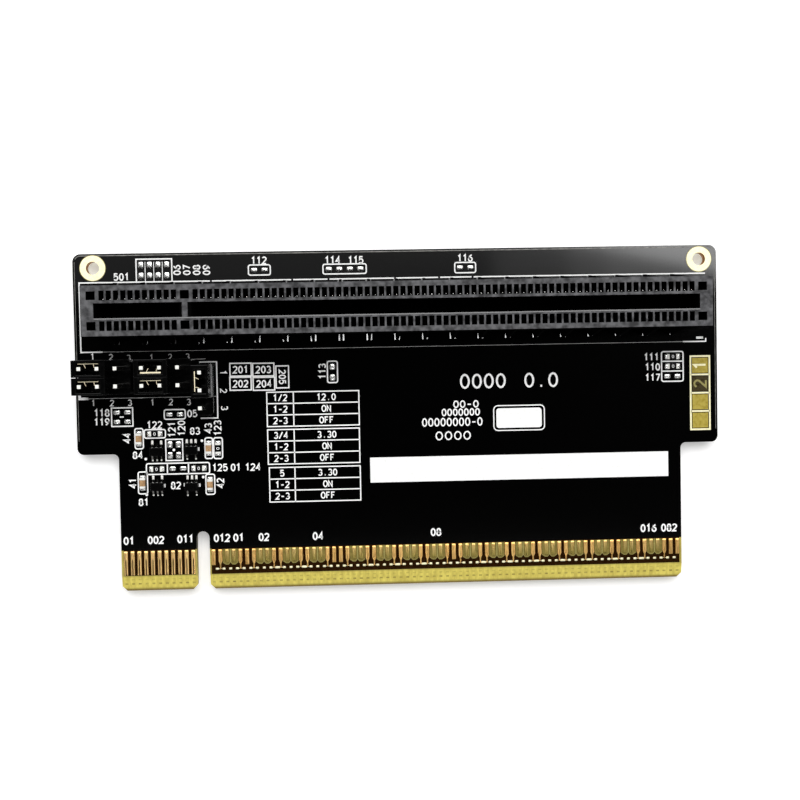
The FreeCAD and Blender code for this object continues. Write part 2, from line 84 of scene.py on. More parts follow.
# most of a noise pattern lies in the span, and its steeper middle in the core
noiseSpan = {1: 0.3, 2: 0.7}
noiseCore = {1: 0.35, 2: 0.65}

# Glass cloth in epoxy, routed to shape, with black mask screened over the copper: deep black gloss that
# dips between the copper tracks, and straw yellow where the laminate is bare.
maskedBoard = {
    "mask": "#010101",
    "opening": "#1d1207",       # mask left open round the edge contacts
    "laminate": "#dccd60",
    "thread": "#c0af4c",
    "lip": "#6d5a1f",           # painted shade along both edges of the bevel
    "edge": "#4d4627",          # routed edge away from the contacts, laminate painted dark as shade
    "edgeSheen": "#9a9990",           # painted highlight along the rounded corners
    "stub": "#85752a",          # copper etched back inside the bevel
    "steep": 0.3,               # a face whose normal rises less than this is routed
    "corner": (0.63, 0.33),     # rise of a rounded corner's normal, and the spread to either side
    "bevelTop": 2.28,
    "openingTop": 6.1,
    "power": (-6.5, 5.3),       # the two groups of contacts, and how far each reaches to either side
    "lanes": (36.5, 35.3),
    "cloth": 0.5,               # thread spacing of the glass cloth
    "clothDraw": 0.3,
    "stubColumn": (0.5, 0.22),  # across each contact's place, and half the width of a stub
    "stubLow": (1.05, 0.12),    # rows of stubs, and half the height of each
    "stubHigh": (1.7, 0.08),
    "stubHighShare": 0.5,
    "stubPatch": 1.3,
    "stubFaintest": 0.3,
    "lips": ((0.15, 0.5, 0.95), (2.28, 2.0, 0.5)),      # painted shade: where each starts and fades out, and its depth
    "roughness": (0.07, 0.6),   # masked and bare
    "trackPitch": 0.5,
    "trackEdge": (0.08, 0.14),
    "trackRise": 0.02,
    "trackStrength": 0.01,
}


def makeBoardFinish(spec):
    material, add, place = newMaterial("blackMaskedGlassEpoxy")
    scaled = add("VectorMath", {0: place, "Scale": perMetre}, operation="SCALE")
    axes = add("SeparateXYZ", {0: scaled}, None)
    rise = add("SeparateXYZ", {0: add("NewGeometry", None, "Normal")}, "Z")
    upright = add("Math", {0: rise}, operation="ABSOLUTE")
    wall = add("Math", {0: upright, 1: spec["steep"]}, operation="LESS_THAN")
    bevel = add("Math", {0: axes["Y"], 1: spec["bevelTop"]}, operation="LESS_THAN")
    window = add("Math", {0: axes["Y"], 1: spec["openingTop"]}, operation="LESS_THAN")
    across = add("Math", {0: axes["X"]}, operation="FRACT")
    ranges = ((axes["X"], spec["power"]), (axes["X"], spec["lanes"]), (across, spec["stubColumn"]),
              (axes["Y"], spec["stubLow"]), (axes["Y"], spec["stubHigh"]), (upright, spec["corner"]))
    power, lanes, column, lowRow, highRow, rounded = [
        add("Math", {0: value, 1: middle, 2: half}, operation="COMPARE") for value, (middle, half) in ranges]
    # bare margin beside each group of contacts
    inGroup = add("Math", {0: power, 1: lanes}, operation="ADD")
    margin = add("Math", {0: window, 1: inGroup}, operation="GREATER_THAN")
    bare = add("Math", {0: wall, 1: bevel}, operation="MAXIMUM")
    bare = add("Math", {0: bare, 1: margin}, operation="MAXIMUM")
    # straw laminate with its cloth, and a stub of copper inside the bevel under every contact
    drawn = add("Mapping", {"Vector": place, "Scale": (1.0, spec["clothDraw"], 1.0)})
    thread = add("TexNoise", {"Vector": drawn, "Scale": perMetre / spec["cloth"], "Detail": 4})
    thread = add("MapRange", {0: thread, **noiseCore})
    straw = add("Mix", {0: thread, 6: linear(spec["thread"]), 7: linear(spec["laminate"])}, 2,
                data_type="RGBA")
    row = add("Math", {0: highRow, 1: spec["stubHighShare"], 2: lowRow}, operation="MULTIPLY_ADD")
    stub = add("Math", {0: column, 1: row}, operation="MULTIPLY")
    patch = add("TexNoise", {"Vector": place, "Scale": perMetre / spec["stubPatch"]})
    depth = add("MapRange", {0: patch, **noiseSpan, 3: spec["stubFaintest"], 4: 1.0})
    stub = add("Math", {0: stub, 1: depth}, operation="MULTIPLY")
    straw = add("Mix", {0: stub, 6: straw, 7: linear(spec["stub"])}, 2, data_type="RGBA")
    # painted shade along both edges of the bevel, deeper at the lower one
    low, high = (add("MapRange", {0: axes["Y"], 1: start, 2: end, 3: share, 4: 0.0})
                 for start, end, share in spec["lips"])
    lip = add("Math", {0: low, 1: high}, operation="ADD")
    straw = add("Mix", {0: lip, 6: straw, 7: linear(spec["lip"])}, 2, data_type="RGBA")
    face = add("Mix", {0: window, 6: linear(spec["mask"]), 7: linear(spec["opening"])}, 2, data_type="RGBA")
    # painted highlight on the rounded corners above the contacts' window
    corner = add("Math", {0: rounded, 1: window}, operation="GREATER_THAN")
    face = add("Mix", {0: corner, 6: face, 7: linear(spec["edgeSheen"])}, 2, data_type="RGBA")
    # routed walls: straw inside the contacts' window, painted shade elsewhere
    rim = add("Mix", {0: window, 6: linear(spec["edge"]), 7: straw}, 2, data_type="RGBA")
    colour = add("Mix", {0: bare, 6: face, 7: rim}, 2, data_type="RGBA")
    unmasked = add("Math", {0: bare, 1: window}, operation="MAXIMUM")
    unmasked = add("Math", {0: unmasked, 1: corner}, operation="MAXIMUM")
    masked, rough = spec["roughness"]
    dull = add("MapRange", {0: unmasked, 3: masked, 4: rough})
    # tracks run from the contacts up to the slot and stand a little proud under the mask
    track = add("Math", {0: axes["X"], 1: spec["trackPitch"] / 2}, operation="PINGPONG")
    foot, crest = spec["trackEdge"]
    ridge = add("MapRange", {0: track, 1: foot, 2: crest})
    relief = add("Bump", {"Strength": spec["trackStrength"], "Distance": spec["trackRise"] * millimetre,
                          "Height": ridge})
    shader = add("BsdfPrincipled", {"Base Color": colour, "Roughness": dull, "Normal": relief, "IOR": 1.52})
    add("OutputMaterial", {"Surface": shader}, None)
    return material


# Glass-filled nylon, injection moulded: near black in its cells and on its walls, while the top, with fibres
# at the skin, is painted a mottled grey as the lamps' sheen, since the plastic has no gloss. The real fibres
# are finer, and are drawn coarse enough to show.
slotNylon = {"body": "#090909", "topSheenDark": "#39393a", "topSheenPale": "#666668", "topDepth": 0.12,
             "topRoughness": (0.34, 0.48), "wallRoughness": 0.12, "mottle": 0.9, "fibre": 0.3,
             "fibreRise": 0.03, "fibreStrength": 0.2}


def makeSlotFinish(spec):
    material, add, place = newMaterial("mouldedGlassFilledNylon")
    height = add("SeparateXYZ", {0: place}, "Z")
    onTop = add("Math", {0: height, 1: (slotTop - spec["topDepth"]) * millimetre}, operation="GREATER_THAN")
    mottle = add("TexNoise", {"Vector": place, "Scale": perMetre / spec["mottle"], "Detail": 5})
    fibre = add("TexNoise", {"Vector": place, "Scale": perMetre / spec["fibre"], "Detail": 3})
    # the top's grey is painted sheen, with a random mottle
    patch = add("MapRange", {0: mottle, **noiseCore})
    topSheen = add("Mix", {0: patch, 6: linear(spec["topSheenDark"]), 7: linear(spec["topSheenPale"])}, 2, data_type="RGBA")
    colour = add("Mix", {0: onTop, 6: linear(spec["body"]), 7: topSheen}, 2, data_type="RGBA")
    low, high = spec["topRoughness"]
    rough = add("MapRange", {0: fibre, **noiseSpan, 3: low, 4: high})
    dull = add("Mix", {0: onTop, 2: spec["wallRoughness"], 3: rough})
    skinned = add("Math", {0: fibre, 1: onTop}, operation="MULTIPLY")
    relief = add("Bump", {"Strength": spec["fibreStrength"], "Distance": spec["fibreRise"] * millimetre,
                          "Height": skinned})
    # no gloss, or the walls would draw every rib
    shader = add("BsdfPrincipled", {"Base Color": colour, "Roughness": dull, "Normal": relief, "IOR": 1.55,
                                    "Specular IOR Level": 0.0})
    add("OutputMaterial", {"Surface": shader}, None)
    return material


# Square brass wire, tin plated and drawn smooth along the shaft: the shaft mirrors the black board and is
# painted a darker grey as shade, while the sheared, matt tip is painted near white as lit.
pinWire = {"name": "drawnTinnedBrass", "shaft": "#b9b8b2", "tip": "#fafaf6", "top": pinTop, "grain": 0.15,
           "tipRoughness": 0.85}
# Phosphor bronze strip with a gold flash, stamped: its top edge painted pale as lit, and below it painted
# dark bronze as the shade down inside the caps.
clipStrip = {"name": "stampedGoldFlashedBronze", "shaft": "#3d3118", "tip": "#f3ead0", "top": clipTop,
             "grain": 0.2, "tipRoughness": 0.7}
# Copper leads, tin plated and bent: painted bright as lit where they lie level, and dark as shade on the
# bends.
leadStock = {"name": "bentTinnedCopper", "shaft": "#6e6d6a", "tip": "#fbfbf8", "top": 0.0, "grain": 0.15,
             "tipRoughness": 0.75}
# what the three share; their real grain is finer, and is drawn coarse enough to show
stock = {"tipDepth": 0.25, "shaftRoughness": (0.14, 0.24),
         "levelRise": 0.9}      # a face whose normal rises more than this lies level


def makeStockFinish(spec):
    material, add, place = newMaterial(spec["name"])
    height = add("SeparateXYZ", {0: place}, "Z")
    rise = add("SeparateXYZ", {0: add("NewGeometry", None, "Normal")}, "Z")
    level = add("Math", {0: rise, 1: stock["levelRise"]}, operation="GREATER_THAN")
    tipFoot = (spec["top"] - stock["tipDepth"]) * millimetre
    above = add("Math", {0: height, 1: tipFoot}, operation="GREATER_THAN")
    atTip = add("Math", {0: above, 1: level}, operation="MULTIPLY")
    grain = add("TexNoise", {"Vector": place, "Scale": perMetre / spec["grain"], "Detail": 2})
    # level faces near the top take the painted lit colour, all others the painted shaded one
    colour = add("Mix", {0: atTip, 6: linear(spec["shaft"]), 7: linear(spec["tip"])}, 2, data_type="RGBA")
    low, high = stock["shaftRoughness"]
    polish = add("MapRange", {0: grain, 3: low, 4: high})
    dull = add("Mix", {0: atTip, 2: polish, 3: spec["tipRoughness"]})
    shader = add("BsdfPrincipled", {"Base Color": colour, "Roughness": dull, "Metallic": 1.0})
    add("OutputMaterial", {"Surface": shader}, None)
    return material


# Hard gold over nickel, electroplated: warm bronze with wipe marks along each contact and a dark line where
# the mating spring has worn it. The paired contacts turn olive lower down, where the plate is thinner. The
# real wipe marks are finer, and are drawn coarse enough to show.
contactGold = {"dark": "#cc9a54", "pale": "#e6bd77", "shortTint": "#ffd690", "shortTintShare": 0.7, "worn": "#3a230b",
               "wornHalf": 0.085, "wornTop": 4.9, "wornFade": 0.4, "wornShares": (0.3, 0.95), "wipe": 0.16,
               "wipeDraw": 0.06, "roughness": (0.26, 0.34)}
thinGold = dict(contactGold, dark="#b0904e", pale="#d2b677")
pairFade = {"colour": "#958646", "top": 5.5, "end": 4.3}


def makeGoldFinish(name, spec, fade):
    material, add, place = newMaterial(name)
    scaled = add("VectorMath", {0: place, "Scale": perMetre}, operation="SCALE")
    axes = add("SeparateXYZ", {0: scaled}, None)
    along = add("Mapping", {"Vector": place, "Scale": (1.0, spec["wipeDraw"], 1.0)})
    wipe = add("TexNoise", {"Vector": along, "Scale": perMetre / spec["wipe"], "Detail": 2})
    spread = add("MapRange", {0: wipe, **noiseSpan})
    colour = add("Mix", {0: spread, 6: linear(spec["dark"]), 7: linear(spec["pale"])}, 2, data_type="RGBA")
    if fade:
        thin = add("MapRange", {0: axes["Y"], 1: fade["top"], 2: fade["end"]})
        colour = add("Mix", {0: thin, 6: colour, 7: linear(fade["colour"])}, 2, data_type="RGBA")
    else:
        # the short group is brighter than the long one, and worn more along the middle
        short = add("Math", {0: axes["X"], 1: 0.0}, operation="LESS_THAN")
        shortTint = add("Math", {0: short, 1: spec["shortTintShare"]}, operation="MULTIPLY")
        colour = add("Mix", {0: shortTint, 6: colour, 7: linear(spec["shortTint"])}, 2, data_type="RGBA")
        across = add("Math", {0: axes["X"]}, operation="FRACT")
        line = add("Math", {0: across, 1: 0.5, 2: spec["wornHalf"]}, operation="COMPARE")
        below = add("MapRange", {0: axes["Y"], 1: spec["wornTop"], 2: spec["wornTop"] - spec["wornFade"]})
        wear = add("Math", {0: line, 1: below}, operation="MULTIPLY")
        less, more = spec["wornShares"]
        share = add("MapRange", {0: short, 3: less, 4: more})
        wear = add("Math", {0: wear, 1: share}, operation="MULTIPLY")
        colour = add("Mix", {0: wear, 6: colour, 7: linear(spec["worn"])}, 2, data_type="RGBA")
    low, high = spec["roughness"]
    dull = add("MapRange", {0: spread, 3: low, 4: high})
    shader = add("BsdfPrincipled", {"Base Color": colour, "Roughness": dull, "Metallic": 1.0})
    add("OutputMaterial", {"Surface": shader}, None)
    return material


grainRelief = {"Strength": 0.1, "Distance": 0.02 * millimetre}


def makeGrainedFinish(name, dark, pale, grain, roughness, values):
    # One grain, its size in millimetres, drives the colour, the roughness and the relief. Most real grains
    # are finer, and each is drawn as coarse as it needs to show.
    material, add, place = newMaterial(name)
    speck = add("TexNoise", {"Vector": place, "Scale": perMetre / grain, "Detail": 3})
    spread = add("MapRange", {0: speck, **noiseSpan})
    colour = add("Mix", {0: spread, 6: linear(dark), 7: linear(pale)}, 2, data_type="RGBA")
    low, high = roughness
    dull = add("MapRange", {0: spread, 3: low, 4: high})
    relief = add("Bump", {"Height": speck, **grainRelief})
    shader = add("BsdfPrincipled", {"Base Color": colour, "Roughness": dull, "Normal": relief, **values})
    add("OutputMaterial", {"Surface": shader}, None)
    return material


# values that several finishes share
metal = {"Metallic": 1.0}
epoxy = {"IOR": 1.52}
sunkEpoxy = {"IOR": 1.52, "Specular IOR Level": 0.2}
# Black polyester, moulded in a polished tool: deep black, with light only along its edges.
polyester = makeGrainedFinish("mouldedBlackPolyester", dark="#020202", pale="#060606", grain=0.3,
                              roughness=(0.1, 0.16), values={"IOR": 1.57, "Specular IOR Level": 0.15})
# Matt tin, plated over nickel: almost white, soft and even.
mattTin = makeGrainedFinish("platedMattTin", dark="#ecebe6", pale="#fcfcfa", grain=0.15,
                            roughness=(0.7, 0.9), values=metal)
# Tin solder, reflowed: silvery and wetted smooth, bright on one side and dark on the other.
solder = makeGrainedFinish("reflowedTinSolder", dark="#e2e2df", pale="#fafaf8", grain=0.25,
                           roughness=(0.2, 0.3), values=metal)
# Phosphor bronze springs with a gold flash, polished by wear, and painted near black as the shade down in the
# mouth; they mirror the dark walls round them.
shadedBronze = makeGrainedFinish("goldFlashedBronzeInShade", dark="#080603", pale="#0e0b06", grain=0.2,
                               roughness=(0.12, 0.2), values=metal)
# Immersion gold on copper: paler and flatter than the hard plate.
softGold = makeGrainedFinish("immersionGold", dark="#f1e8ba", pale="#fbf6dc", grain=0.35,
                             roughness=(0.5, 0.65), values=metal)
# Plated copper barrel seen down a hole: orange brown, darkened as painted shade down the hole.
barrelGold = makeGrainedFinish("platedHoleBarrel", dark="#8a5a22", pale="#c08a45", grain=0.3,
                               roughness=(0.35, 0.5), values=metal)
# Barium titanate, pressed and fired: matt tan with a chalky grain.
ceramic = makeGrainedFinish("firedTanCeramic", dark="#8a6238", pale="#c49c69", grain=0.25,
                            roughness=(0.5, 0.6), values={"IOR": 1.6})
# Glass glaze fired over a printed film: shiny black, slightly uneven.
glaze = makeGrainedFinish("firedBlackGlaze", dark="#050505", pale="#0e0e0f", grain=0.5,
                          roughness=(0.1, 0.16), values={"IOR": 1.5})
# Silica-filled epoxy, transfer moulded in a polished tool: black with a fine sandy skin.
chipEpoxy = makeGrainedFinish("mouldedSilicaEpoxy", dark="#020202", pale="#050505", grain=0.12,
                              roughness=(0.1, 0.15), values={"IOR": 1.55, "Specular IOR Level": 0.3})
# White epoxy ink, screen printed: bright and dull, thinner here and there.
ink = makeGrainedFinish("screenPrintedWhiteInk", dark="#efefed", pale="#ffffff", grain=0.4,
                        roughness=(0.5, 0.6), values={"IOR": 1.5})
# Bare laminate in the mask's windows: straw, darker where copper lies behind, olive between paired contacts.
clearWindow = makeGrainedFinish("bareLaminateWindow", dark="#9c8a33", pale="#b5a348", grain=0.5,
                                roughness=(0.25, 0.35), values=sunkEpoxy)
copperWindow = makeGrainedFinish("laminateOverCopper", dark="#2f260b", pale="#403514", grain=0.5,
                                 roughness=(0.25, 0.35), values=sunkEpoxy)
oliveGap = makeGrainedFinish("oliveLaminate", dark="#6a5e26", pale="#847637", grain=0.5,
                             roughness=(0.35, 0.5), values=sunkEpoxy)
# Laminate etched clean between the contacts: matt brown, shaded by the copper beside it.
brownGap = makeGrainedFinish("etchedBrownLaminate", dark="#1c0e04", pale="#2c1a08", grain=0.4,
                             roughness=(0.5, 0.6), values={"IOR": 1.52, "Specular IOR Level": 0.0})
# The slot's mouth has a smooth rounded edge, painted grey as its highlight line.
mouthSheenNylon = makeGrainedFinish("nylonPaintedSheen", dark="#1b1b1c", pale="#303031", grain=0.5,
                                roughness=(0.13, 0.18), values={"IOR": 1.55})
# Its low feet come from a polished part of the tool: black, with sharp glints.
polishedNylon = makeGrainedFinish("mouldedPolishedNylon", dark="#040404", pale="#0a0a0a", grain=1.2,
                                  roughness=(0.05, 0.1), values={"IOR": 1.6})
# A painted highlight just inside the routed edge: a dull grey line on the black mask.
edgeSheenFinish = makeGrainedFinish("paintedSheenOnMask", dark="#4f4e4b", pale="#8a8983", grain=0.6,
                               roughness=(0.4, 0.5), values=epoxy)
# Laminate at the rim of an opening: a thin pale olive line.
oliveEdge = makeGrainedFinish("paleOliveLaminate", dark="#857c3d", pale="#9d9450", grain=0.3,
                              roughness=(0.35, 0.5), values=epoxy)
# The same white ink over bare laminate: cream, because the straw shows through.
creamInk = makeGrainedFinish("inkOverLaminate", dark="#efe8b2", pale="#fbf6d2", grain=0.4,
                             roughness=(0.5, 0.6), values={"IOR": 1.5})
boardFinish = makeBoardFinish(maskedBoard)
slotFinish = makeSlotFinish(slotNylon)
pinFinish = makeStockFinish(pinWire)
clipFinish = makeStockFinish(clipStrip)
leadFinish = makeStockFinish(leadStock)
hardGold = makeGoldFinish("platedHardGold", contactGold, None)
pairGold = makeGoldFinish("thinHardGold", thinGold, pairFade)
print("materials made:", len(bpy.data.materials))


# Finish of each kind of CAD piece, and how far its edges are rounded; the first name that fits is used.
dressing = (
    ("circuit_board", boardFinish, 0.2),
    ("slot_housing", slotFinish, 0),
    ("slot_contacts", shadedBronze, 0),
    ("slot_solder_tails", solder, 0),
    ("header_solder_tails", solder, 0),
    ("edge_contacts", hardGold, 0),
    ("jumper_clip", clipFinish, 0),
    ("jumper_cap", polyester, 0.12),
    ("pins", pinFinish, 0.11),
    ("base", polyester, 0.05),
    ("ends", mattTin, 0.06),
    ("leads", leadFinish, 0.03),
    ("capacitor", ceramic, 0.05),
    ("resistor", glaze, 0.04),
    ("logic_chip", chipEpoxy, 0.06),
)
weldReach = 1e-7
sharpest = math.radians(40)     # edges that turn more than this are rounded
for name, node in nodes.items():
    finish, rounding = next((finish, rounding) for word, finish, rounding in dressing if word in name)
    node.data.materials.clear()
    node.data.materials.append(finish)
    if rounding:
        weld = node.modifiers.new("weld", "WELD")
        weld.merge_threshold = weldReach
        edge = node.modifiers.new("edge", "BEVEL")
        edge.width = rounding * millimetre
        edge.segments = 2
        edge.limit_method = "ANGLE"
        edge.angle_limit = sharpest
        edge.harden_normals = True
print("CAD pieces dressed")


def measured(name):
    # middle and size of a CAD piece
    low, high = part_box(name)
    return (low + high) / 2 / millimetre, (high - low) / millimetre


def prism(outline, low, high):
    # an outline raised from one height to another
    count = len(outline)
    points = [(x, y, low) for x, y in outline] + [(x, y, high) for x, y in outline]
    faces = [(i, (i + 1) % count, (i + 1) % count + count, i + count) for i in range(count)]
    faces.append(tuple(range(count)))
    faces.append(tuple(range(count, 2 * count)))
    return points, faces


def sheet(outline, rise):
    # a thin layer on the board
    return prism(outline, sunk, boardFace + rise)


mitreLimit = 0.4    # keeps a sharp corner short
touching = 1e-6


def ribbon(line, width, low, high):
    # a printed line with mitred corners, closed when it ends where it starts
    spots = [Vector(spot) for spot in line]
    closed = (spots[0] - spots[-1]).length < touching
    if closed:
        spots.pop()
    count = len(spots)
    points = []
    for i, spot in enumerate(spots):
        before = spots[i - 1] if closed or i else spot * 2 - spots[1]
        after = spots[(i + 1) % count] if closed or i < count - 1 else spot * 2 - spots[-2]
        into = (spot - before).normalized()
        out = (after - spot).normalized()
        square = Vector((-into.y, into.x))
        across = square + Vector((-out.y, out.x))
        across = across.normalized() if across.length > touching else square
        across *= width / 2 / max(mitreLimit, across.dot(square))
        for side in (spot + across, spot - across):
            points += [(side.x, side.y, low), (side.x, side.y, high)]
    faces = []
    for i in range(count if closed else count - 1):
        a = 4 * i
        b = 4 * ((i + 1) % count)
        faces += [(a, a + 2, b + 2, b), (a + 1, b + 1, b + 3, a + 3)]
        faces += [(a, b, b + 1, a + 1), (a + 2, a + 3, b + 3, b + 2)]
    if not closed:
        faces += [(0, 1, 3, 2), (4 * count - 4, 4 * count - 2, 4 * count - 1, 4 * count - 3)]
    return points, faces


def mound(x, y, rings, tip, corner=1.0, steps=20):
    # rings of (half length, half width, height) from the foot to a tip; a small corner squares them off
    points = []
    for halfX, halfY, z in rings:
        for i in range(steps):
            c = math.cos(2 * math.pi * i / steps)
            s = math.sin(2 * math.pi * i / steps)
            points.append((x + math.copysign(abs(c) ** corner, c) * halfX,
                           y + math.copysign(abs(s) ** corner, s) * halfY, z))
    faces = [tuple(range(steps))]
    for start in range(0, steps * (len(rings) - 1), steps):
        for i in range(steps):
            j = (i + 1) % steps
            faces.append((start + i, start + j, start + steps + j, start + steps + i))
    last = steps * (len(rings) - 1)
    points.append((x, y, tip))
    faces += [(last + i, last + (i + 1) % steps, len(points) - 1) for i in range(steps)]
    return points, faces


def pillow(x, y, halfX, halfY, low, rise):
    # a pad wetted by solder: shares of its size and of its rise
    shape = ((1.0, 0.0), (1.0, 0.25), (0.88, 0.7), (0.55, 0.95))
    rings = [(scale * halfX, scale * halfY, low + lift * rise) for scale, lift in shape]
    return mound(x, y, rings, low + rise, corner=0.45)


def turned(x, y, profile, steps=48):
    # a ring about an upright line, its profile a closed loop of (radius, height)
    count = len(profile)
    points = []
    for i in range(steps):
        c = math.cos(2 * math.pi * i / steps)
        s = math.sin(2 * math.pi * i / steps)
        points += [(x + radius * c, y + radius * s, z) for radius, z in profile]
    faces = []
    for i in range(steps):
        a = i * count
        b = (i + 1) % steps * count
        faces += [(a + k, b + k, b + (k + 1) % count, a + (k + 1) % count) for k in range(count)]
    return points, faces


def addPiece(name, shapes, material, smooth=False):
    # joins shapes of (points, faces) into one piece
    points = []
    faces = []
    for shapePoints, shapeFaces in shapes:
        start = len(points)
        points += [(x * millimetre, y * millimetre, z * millimetre) for x, y, z in shapePoints]
        faces += [tuple(start + i for i in face) for face in shapeFaces]
    mesh = bpy.data.meshes.new(name)
    mesh.from_pydata(points, [], faces)
    shell = bmesh.new()
    shell.from_mesh(mesh)
    bmesh.ops.recalc_face_normals(shell, faces=shell.faces)
    shell.to_mesh(mesh)
    shell.free()
    if smooth:
        mesh.shade_smooth()
    mesh.materials.append(material)
    piece = bpy.data.objects.new(name, mesh)
    scene.collection.objects.link(piece)
    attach(piece, "root")
    return piece


def plate(left, bottom, right, top):
    return [(left, bottom), (right, bottom), (right, top), (left, top)]


def arc(x, y, radiusX, radiusY, start, end, steps=10):
    # points along part of an ellipse, in degrees
    turns = [math.radians(start + (end - start) * i / steps) for i in range(steps + 1)]
    return [(x + radiusX * math.cos(turn), y + radiusY * math.sin(turn)) for turn in turns]


def frameLine(left, bottom, right, top, radius=0.0):
    # a closed line round a box, with its corners rounded where a radius is given
    line = plate(left + radius, bottom + radius, right - radius, top - radius)
    if radius:
        line = [spot for k, (x, y) in enumerate(line)
                for spot in arc(x, y, radius, radius, 180 + 90 * k, 270 + 90 * k, 3)]
    return line + line[:1]


# Edge contacts, replaced so that each has a crowned face, a sloped upper end and its own lower end.
contacts = {
    "powerCount": 11,
    "powerFirst": -11.5,
    "laneCount": 71,
    "laneFirst": 1.5,
    "pitch": 1.0,
    "half": 0.305,
    "pairHalf": 0.285,
    "top": 5.95,
    "powerEnd": 2.35,
    "laneEnd": 3.6,
    "pairEnd": 3.95,
    "groundEnd": 4.0,
    # shape of each end: (y from the end, share of the half width, share of the crown)
    "topShape": ((0.0, 0.9, 0.4), (-0.2, 1.0, 1.0)),
    "endShape": ((0.08, 1.0, 1.0), (0.0, 0.85, 0.3)),
    "pairShape": ((0.15, 1.0, 1.0), (0.0, 0.6, 0.4)),
    "groundShape": ((0.2, 1.0, 1.0), (0.0, 0.7, 1.0)),
    # a stem runs on below each ground contact: (y, share of the crown)
    "stem": ((3.75, 0.8), (3.0, 0.6)),
    "stemHalf": 0.1,
    "crown": 0.07,
    # each pair stands between two ground contacts; these are the first of the four
    "groups": (13, 18, 22, 26, 32, 36, 40, 44, 49, 53, 57, 61, 65, 69, 73, 77),
}
grounds = [group + step for group in contacts["groups"] for step in (0, 3)]
paired = [group + step for group in contacts["groups"] for step in (1, 2)]
lastContact = contacts["powerCount"] + contacts["laneCount"]


def contactPlace(number):
    if number <= contacts["powerCount"]:
        return contacts["powerFirst"] + contacts["pitch"] * (number - 1)
    return contacts["laneFirst"] + contacts["pitch"] * (number - contacts["powerCount"] - 1)


def contactRows(number):
    # (y, half width, share of the crown) from the upper end down
    half = contacts["half"]
    if number in grounds:
        end, shape = contacts["groundEnd"], contacts["groundShape"]
    elif number in paired:
        end, shape = contacts["pairEnd"], contacts["pairShape"]
        half = contacts["pairHalf"]
    elif number <= contacts["powerCount"]:
        end, shape = contacts["powerEnd"], contacts["endShape"]
    else:
        end, shape = contacts["laneEnd"], contacts["endShape"]
    rows = [(contacts["top"] + away, half * wide, share) for away, wide, share in contacts["topShape"]]
    rows += [(end + away, half * wide, share) for away, wide, share in shape]
    if number in grounds:
        rows += [(y, contacts["stemHalf"], share) for y, share in contacts["stem"]]
    return rows


def crowned(x, rows, base, crown, section):
    # a bar along y with one section: rows of (y, half width, share of the crown)
    count = len(section)
    points = []
    for y, half, share in rows:
        points += [(x + across * half, y, base + lift * share * crown) for across, lift in section]
    faces = []
    for a in range(0, count * (len(rows) - 1), count):
        faces += [(a + k, a + count + k, a + count + k + 1, a + k + 1) for k in range(count - 1)]
        faces.append((a, a + count - 1, a + 2 * count - 1, a + count))
    last = count * (len(rows) - 1)
    faces += [tuple(range(count)), tuple(range(last, last + count))]
    return points, faces


contactSection = ((-1.0, 0.0), (-0.86, 0.92), (0.0, 1.0), (0.86, 0.92), (1.0, 0.0))
for side, base, crown, node in (("Front", boardFace, contacts["crown"], "edge_contacts_front"),
                                ("Rear", 0.0, -contacts["crown"], "edge_contacts_rear")):
    single = [crowned(contactPlace(n), contactRows(n), base, crown, contactSection)
              for n in range(1, lastContact + 1) if n not in paired]
    piece = addPiece("edgeContacts" + side, single, hardGold)
    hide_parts(node)
    pairs = [crowned(contactPlace(n), contactRows(n), base, crown, contactSection) for n in paired]
    addPiece("pairedContacts" + side, pairs, pairGold)

# laminate round the paired contacts, and the row of plating stubs below
pairField = {"top": 6.0, "low": 4.0, "tip": 3.68, "tipHalf": 0.2, "toGround": 0.66, "toPair": 0.47,
             "rise": 0.012, "line": 0.06, "lineRise": 0.024}
stubs = {"y": 3.05, "half": 0.23, "wide": 0.4, "tall": 0.16, "rise": 0.07, "bar": 0.05, "barHalf": 0.5,
         "barRise": 0.035}
fields = []
fieldLines = []
stubShapes = []
for group in contacts["groups"]:
    for number, outward in ((group + 1, -1), (group + 2, 1)):
        x = contactPlace(number)
        outer = x + outward * pairField["toGround"]
        inner = x - outward * pairField["toPair"]
        tip = outward * pairField["tipHalf"]
        edge = [(outer, pairField["top"]), (outer, pairField["low"]), (x + tip, pairField["tip"]),
                (x - tip, pairField["tip"]), (inner, pairField["low"]), (inner, pairField["top"])]
        fields.append(sheet(edge, pairField["rise"]))
        fieldLines.append(ribbon(edge[1:], pairField["line"], sunk, boardFace + pairField["lineRise"]))
    for number in (group, group + 3):
        x = contactPlace(number)
        bar = plate(x - stubs["barHalf"], stubs["y"] - stubs["bar"] / 2,
                    x + stubs["barHalf"], stubs["y"] + stubs["bar"] / 2)
        stubShapes.append(sheet(bar, stubs["barRise"]))
for number in range(contacts["powerCount"] + 1, lastContact):
    between = number in grounds and number + 1 in grounds
    x = contactPlace(number) + contacts["pitch"] / 2
    stubShapes.append(pillow(x, stubs["y"], stubs["wide"] if between else stubs["half"], stubs["tall"],
                             boardFace, stubs["rise"]))
etched = {"low": 2.3, "top": 6.1, "rise": 0.006, "spans": ((-11.82, -1.18), (1.18, 71.82))}
gapShapes = []
for left, right in etched["spans"]:
    ground = plate(left, etched["low"], right, etched["top"])
    gapShapes += [sheet(ground, etched["rise"]), prism(ground, -etched["rise"], boardFace - sunk)]
addPiece("contactGaps", gapShapes, brownGap)
addPiece("pairLaminate", fields, oliveGap)
addPiece("pairLaminateEdges", fieldLines, oliveEdge)
addPiece("platingStubs", stubShapes, softGold)
print("edge contacts shaped:", lastContact, "a side")


